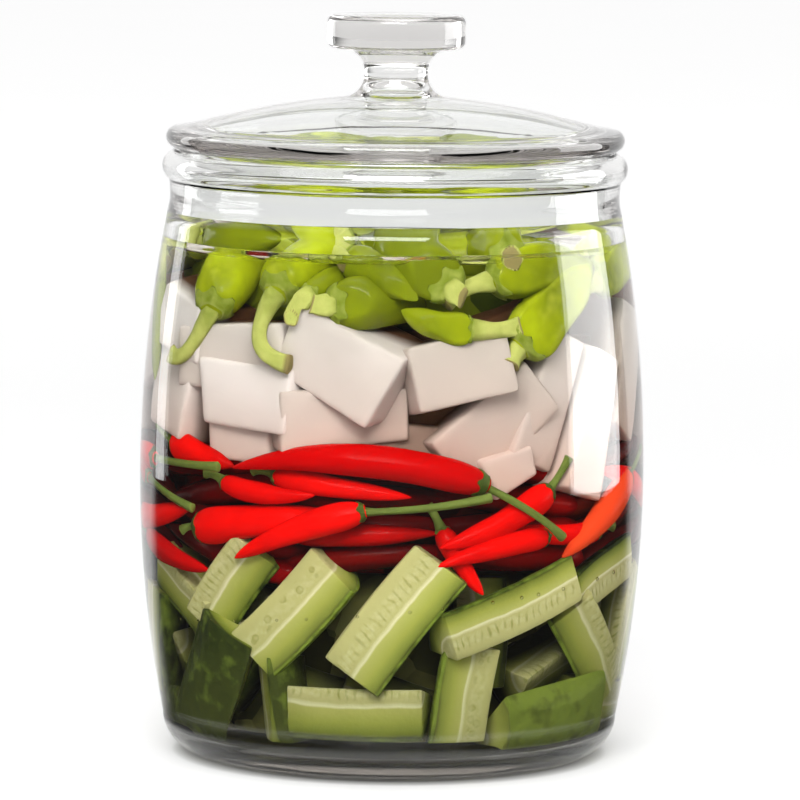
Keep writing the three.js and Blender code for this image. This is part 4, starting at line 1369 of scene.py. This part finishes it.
class CROCK_OT_lid(bpy.types.Operator):
    """Makes the lid's glass with its knob"""

    bl_idname = "crock.lid"
    bl_label = "Lid"

    def execute(self, context):
        glass = context.scene.crock_glass
        finish = glass_finish("lid_glass", glass, glass.lid_density)
        put_piece("lid_glass", revolve(lid_profile(glass)), finish, ["lid"])
        return {"FINISHED"}


class CROCK_OT_brine(bpy.types.Operator):
    """Makes the brine, which reaches just into the glass"""

    bl_idname = "crock.brine"
    bl_label = "Brine"

    def execute(self, context):
        scene = context.scene
        profile = brine_profile(scene.crock_glass, scene.crock_brine)
        put_piece("brine", revolve(profile), brine_finish(scene.crock_brine))
        return {"FINISHED"}


class CROCK_OT_cucumbers(bpy.types.Operator):
    """Makes the cucumber sticks and what lies deeper in their layer"""

    bl_idname = "crock.cucumbers"
    bl_label = "Cucumbers"

    def execute(self, context):
        look = context.scene.crock_cucumber
        pieces = CUCUMBER_FRONT + CUCUMBER_BACK + CUCUMBER_INNER
        sticks = [stick_surface(piece, i, look) for i, piece in enumerate(pieces)]
        sticks = packed(sticks, context.scene.crock_glass)
        put_piece("cucumber_sticks", sticks, cucumber_finish(look), ["cucumber_heap"], 40)
        put_core("cucumber", look)
        return {"FINISHED"}


class CROCK_OT_chillies(bpy.types.Operator):
    """Makes the red chillies, their stalks and what lies deeper in their layer"""

    bl_idname = "crock.chillies"
    bl_label = "Chillies"

    def execute(self, context):
        look = context.scene.crock_chilli
        pieces = CHILLI_FRONT + CHILLI_BACK + CHILLI_INNER
        glass = context.scene.crock_glass
        skin = chilli_finish(look)
        stalk = stalk_finish("chilli_stalk", look.stalk_pale, look.stalk, look.stalk_pale, look.stalk)
        put_pods("chilli", pieces, CHILLI_FRONT + CHILLI_BACK, 0, CHILLI_KIND, glass, skin, stalk)
        put_core("chilli", look)
        return {"FINISHED"}


class CROCK_OT_radishes(bpy.types.Operator):
    """Makes the radish blocks and what lies deeper in their layer"""

    bl_idname = "crock.radishes"
    bl_label = "Radishes"

    def execute(self, context):
        look = context.scene.crock_radish
        pieces = RADISH_FRONT + RADISH_BACK + RADISH_INNER
        blocks = [block_surface(piece, i, look.rounding) for i, piece in enumerate(pieces)]
        blocks = packed(blocks, context.scene.crock_glass)
        put_piece("radish_blocks", blocks, radish_finish(look), ["radish_heap"])
        put_core("radish", look)
        return {"FINISHED"}


class CROCK_OT_peppers(bpy.types.Operator):
    """Makes the green peppers, their stalks and what lies deeper in their layer"""

    bl_idname = "crock.peppers"
    bl_label = "Peppers"

    def execute(self, context):
        look = context.scene.crock_pepper
        pieces = PEPPER_FRONT + PEPPER_BACK + PEPPER_TOP
        glass = context.scene.crock_glass
        skin = pepper_finish(look)
        stalk = stalk_finish("pepper_stalk", look.stalk_pale, look.stalk, look.cut, look.tip)
        put_pods("pepper", pieces, pieces, 40, PEPPER_KIND, glass, skin, stalk)
        put_core("pepper", look)
        return {"FINISHED"}


class CROCK_OT_bubbles(bpy.types.Operator):
    """Makes the small bubbles that cling inside the wall"""

    bl_idname = "crock.bubbles"
    bl_label = "Bubbles"

    def execute(self, context):
        glass = context.scene.crock_glass
        brine = context.scene.crock_brine
        balls = []
        for i in range(BUBBLES):
            up = brine.bubble_low + brine.bubble_span * spread(i, 1)
            out = float(side_radius(glass, up)) - glass.wall - brine.bubble_gap
            size = brine.bubble_small + brine.bubble_more * spread(i, 2) ** 2
            balls.append(bubble_surface(spot(360 * spread(i), out / MM, up / MM), size))
        put_piece("bubbles", gather(balls), bubble_finish())
        return {"FINISHED"}


class CROCK_PT_panel(bpy.types.Panel):
    """Lists the crock's pieces"""

    bl_idname = "CROCK_PT_panel"
    bl_label = "Crock"
    bl_space_type = "VIEW_3D"
    bl_region_type = "UI"
    bl_category = "Crock"

    def draw(self, context):
        for operator in OPERATORS:
            self.layout.operator(operator.bl_idname)


GROUPS = {
    "crock_glass": CrockGlass,
    "crock_brine": CrockBrine,
    "crock_cucumber": CrockCucumber,
    "crock_chilli": CrockChilli,
    "crock_radish": CrockRadish,
    "crock_pepper": CrockPepper,
    "crock_stage": CrockStage,
}
OPERATORS = (
    CROCK_OT_stage,
    CROCK_OT_jar,
    CROCK_OT_lid,
    CROCK_OT_brine,
    CROCK_OT_cucumbers,
    CROCK_OT_chillies,
    CROCK_OT_radishes,
    CROCK_OT_peppers,
    CROCK_OT_bubbles,
)


def register():
    """Adds the classes, and the groups of sizes and colours to the scene."""
    for cls in (*GROUPS.values(), *OPERATORS, CROCK_PT_panel):
        bpy.utils.register_class(cls)
    for name, group in GROUPS.items():
        setattr(bpy.types.Scene, name, PointerProperty(type=group))


def unregister():
    """Takes them away again."""
    for name in GROUPS:
        delattr(bpy.types.Scene, name)
    for cls in reversed((*GROUPS.values(), *OPERATORS, CROCK_PT_panel)):
        bpy.utils.unregister_class(cls)


def main():
    """Makes every piece in order."""
    register()
    for operator in OPERATORS:
        group, name = operator.bl_idname.split(".")
        getattr(getattr(bpy.ops, group), name)()


if __name__ == "__main__":
    main()
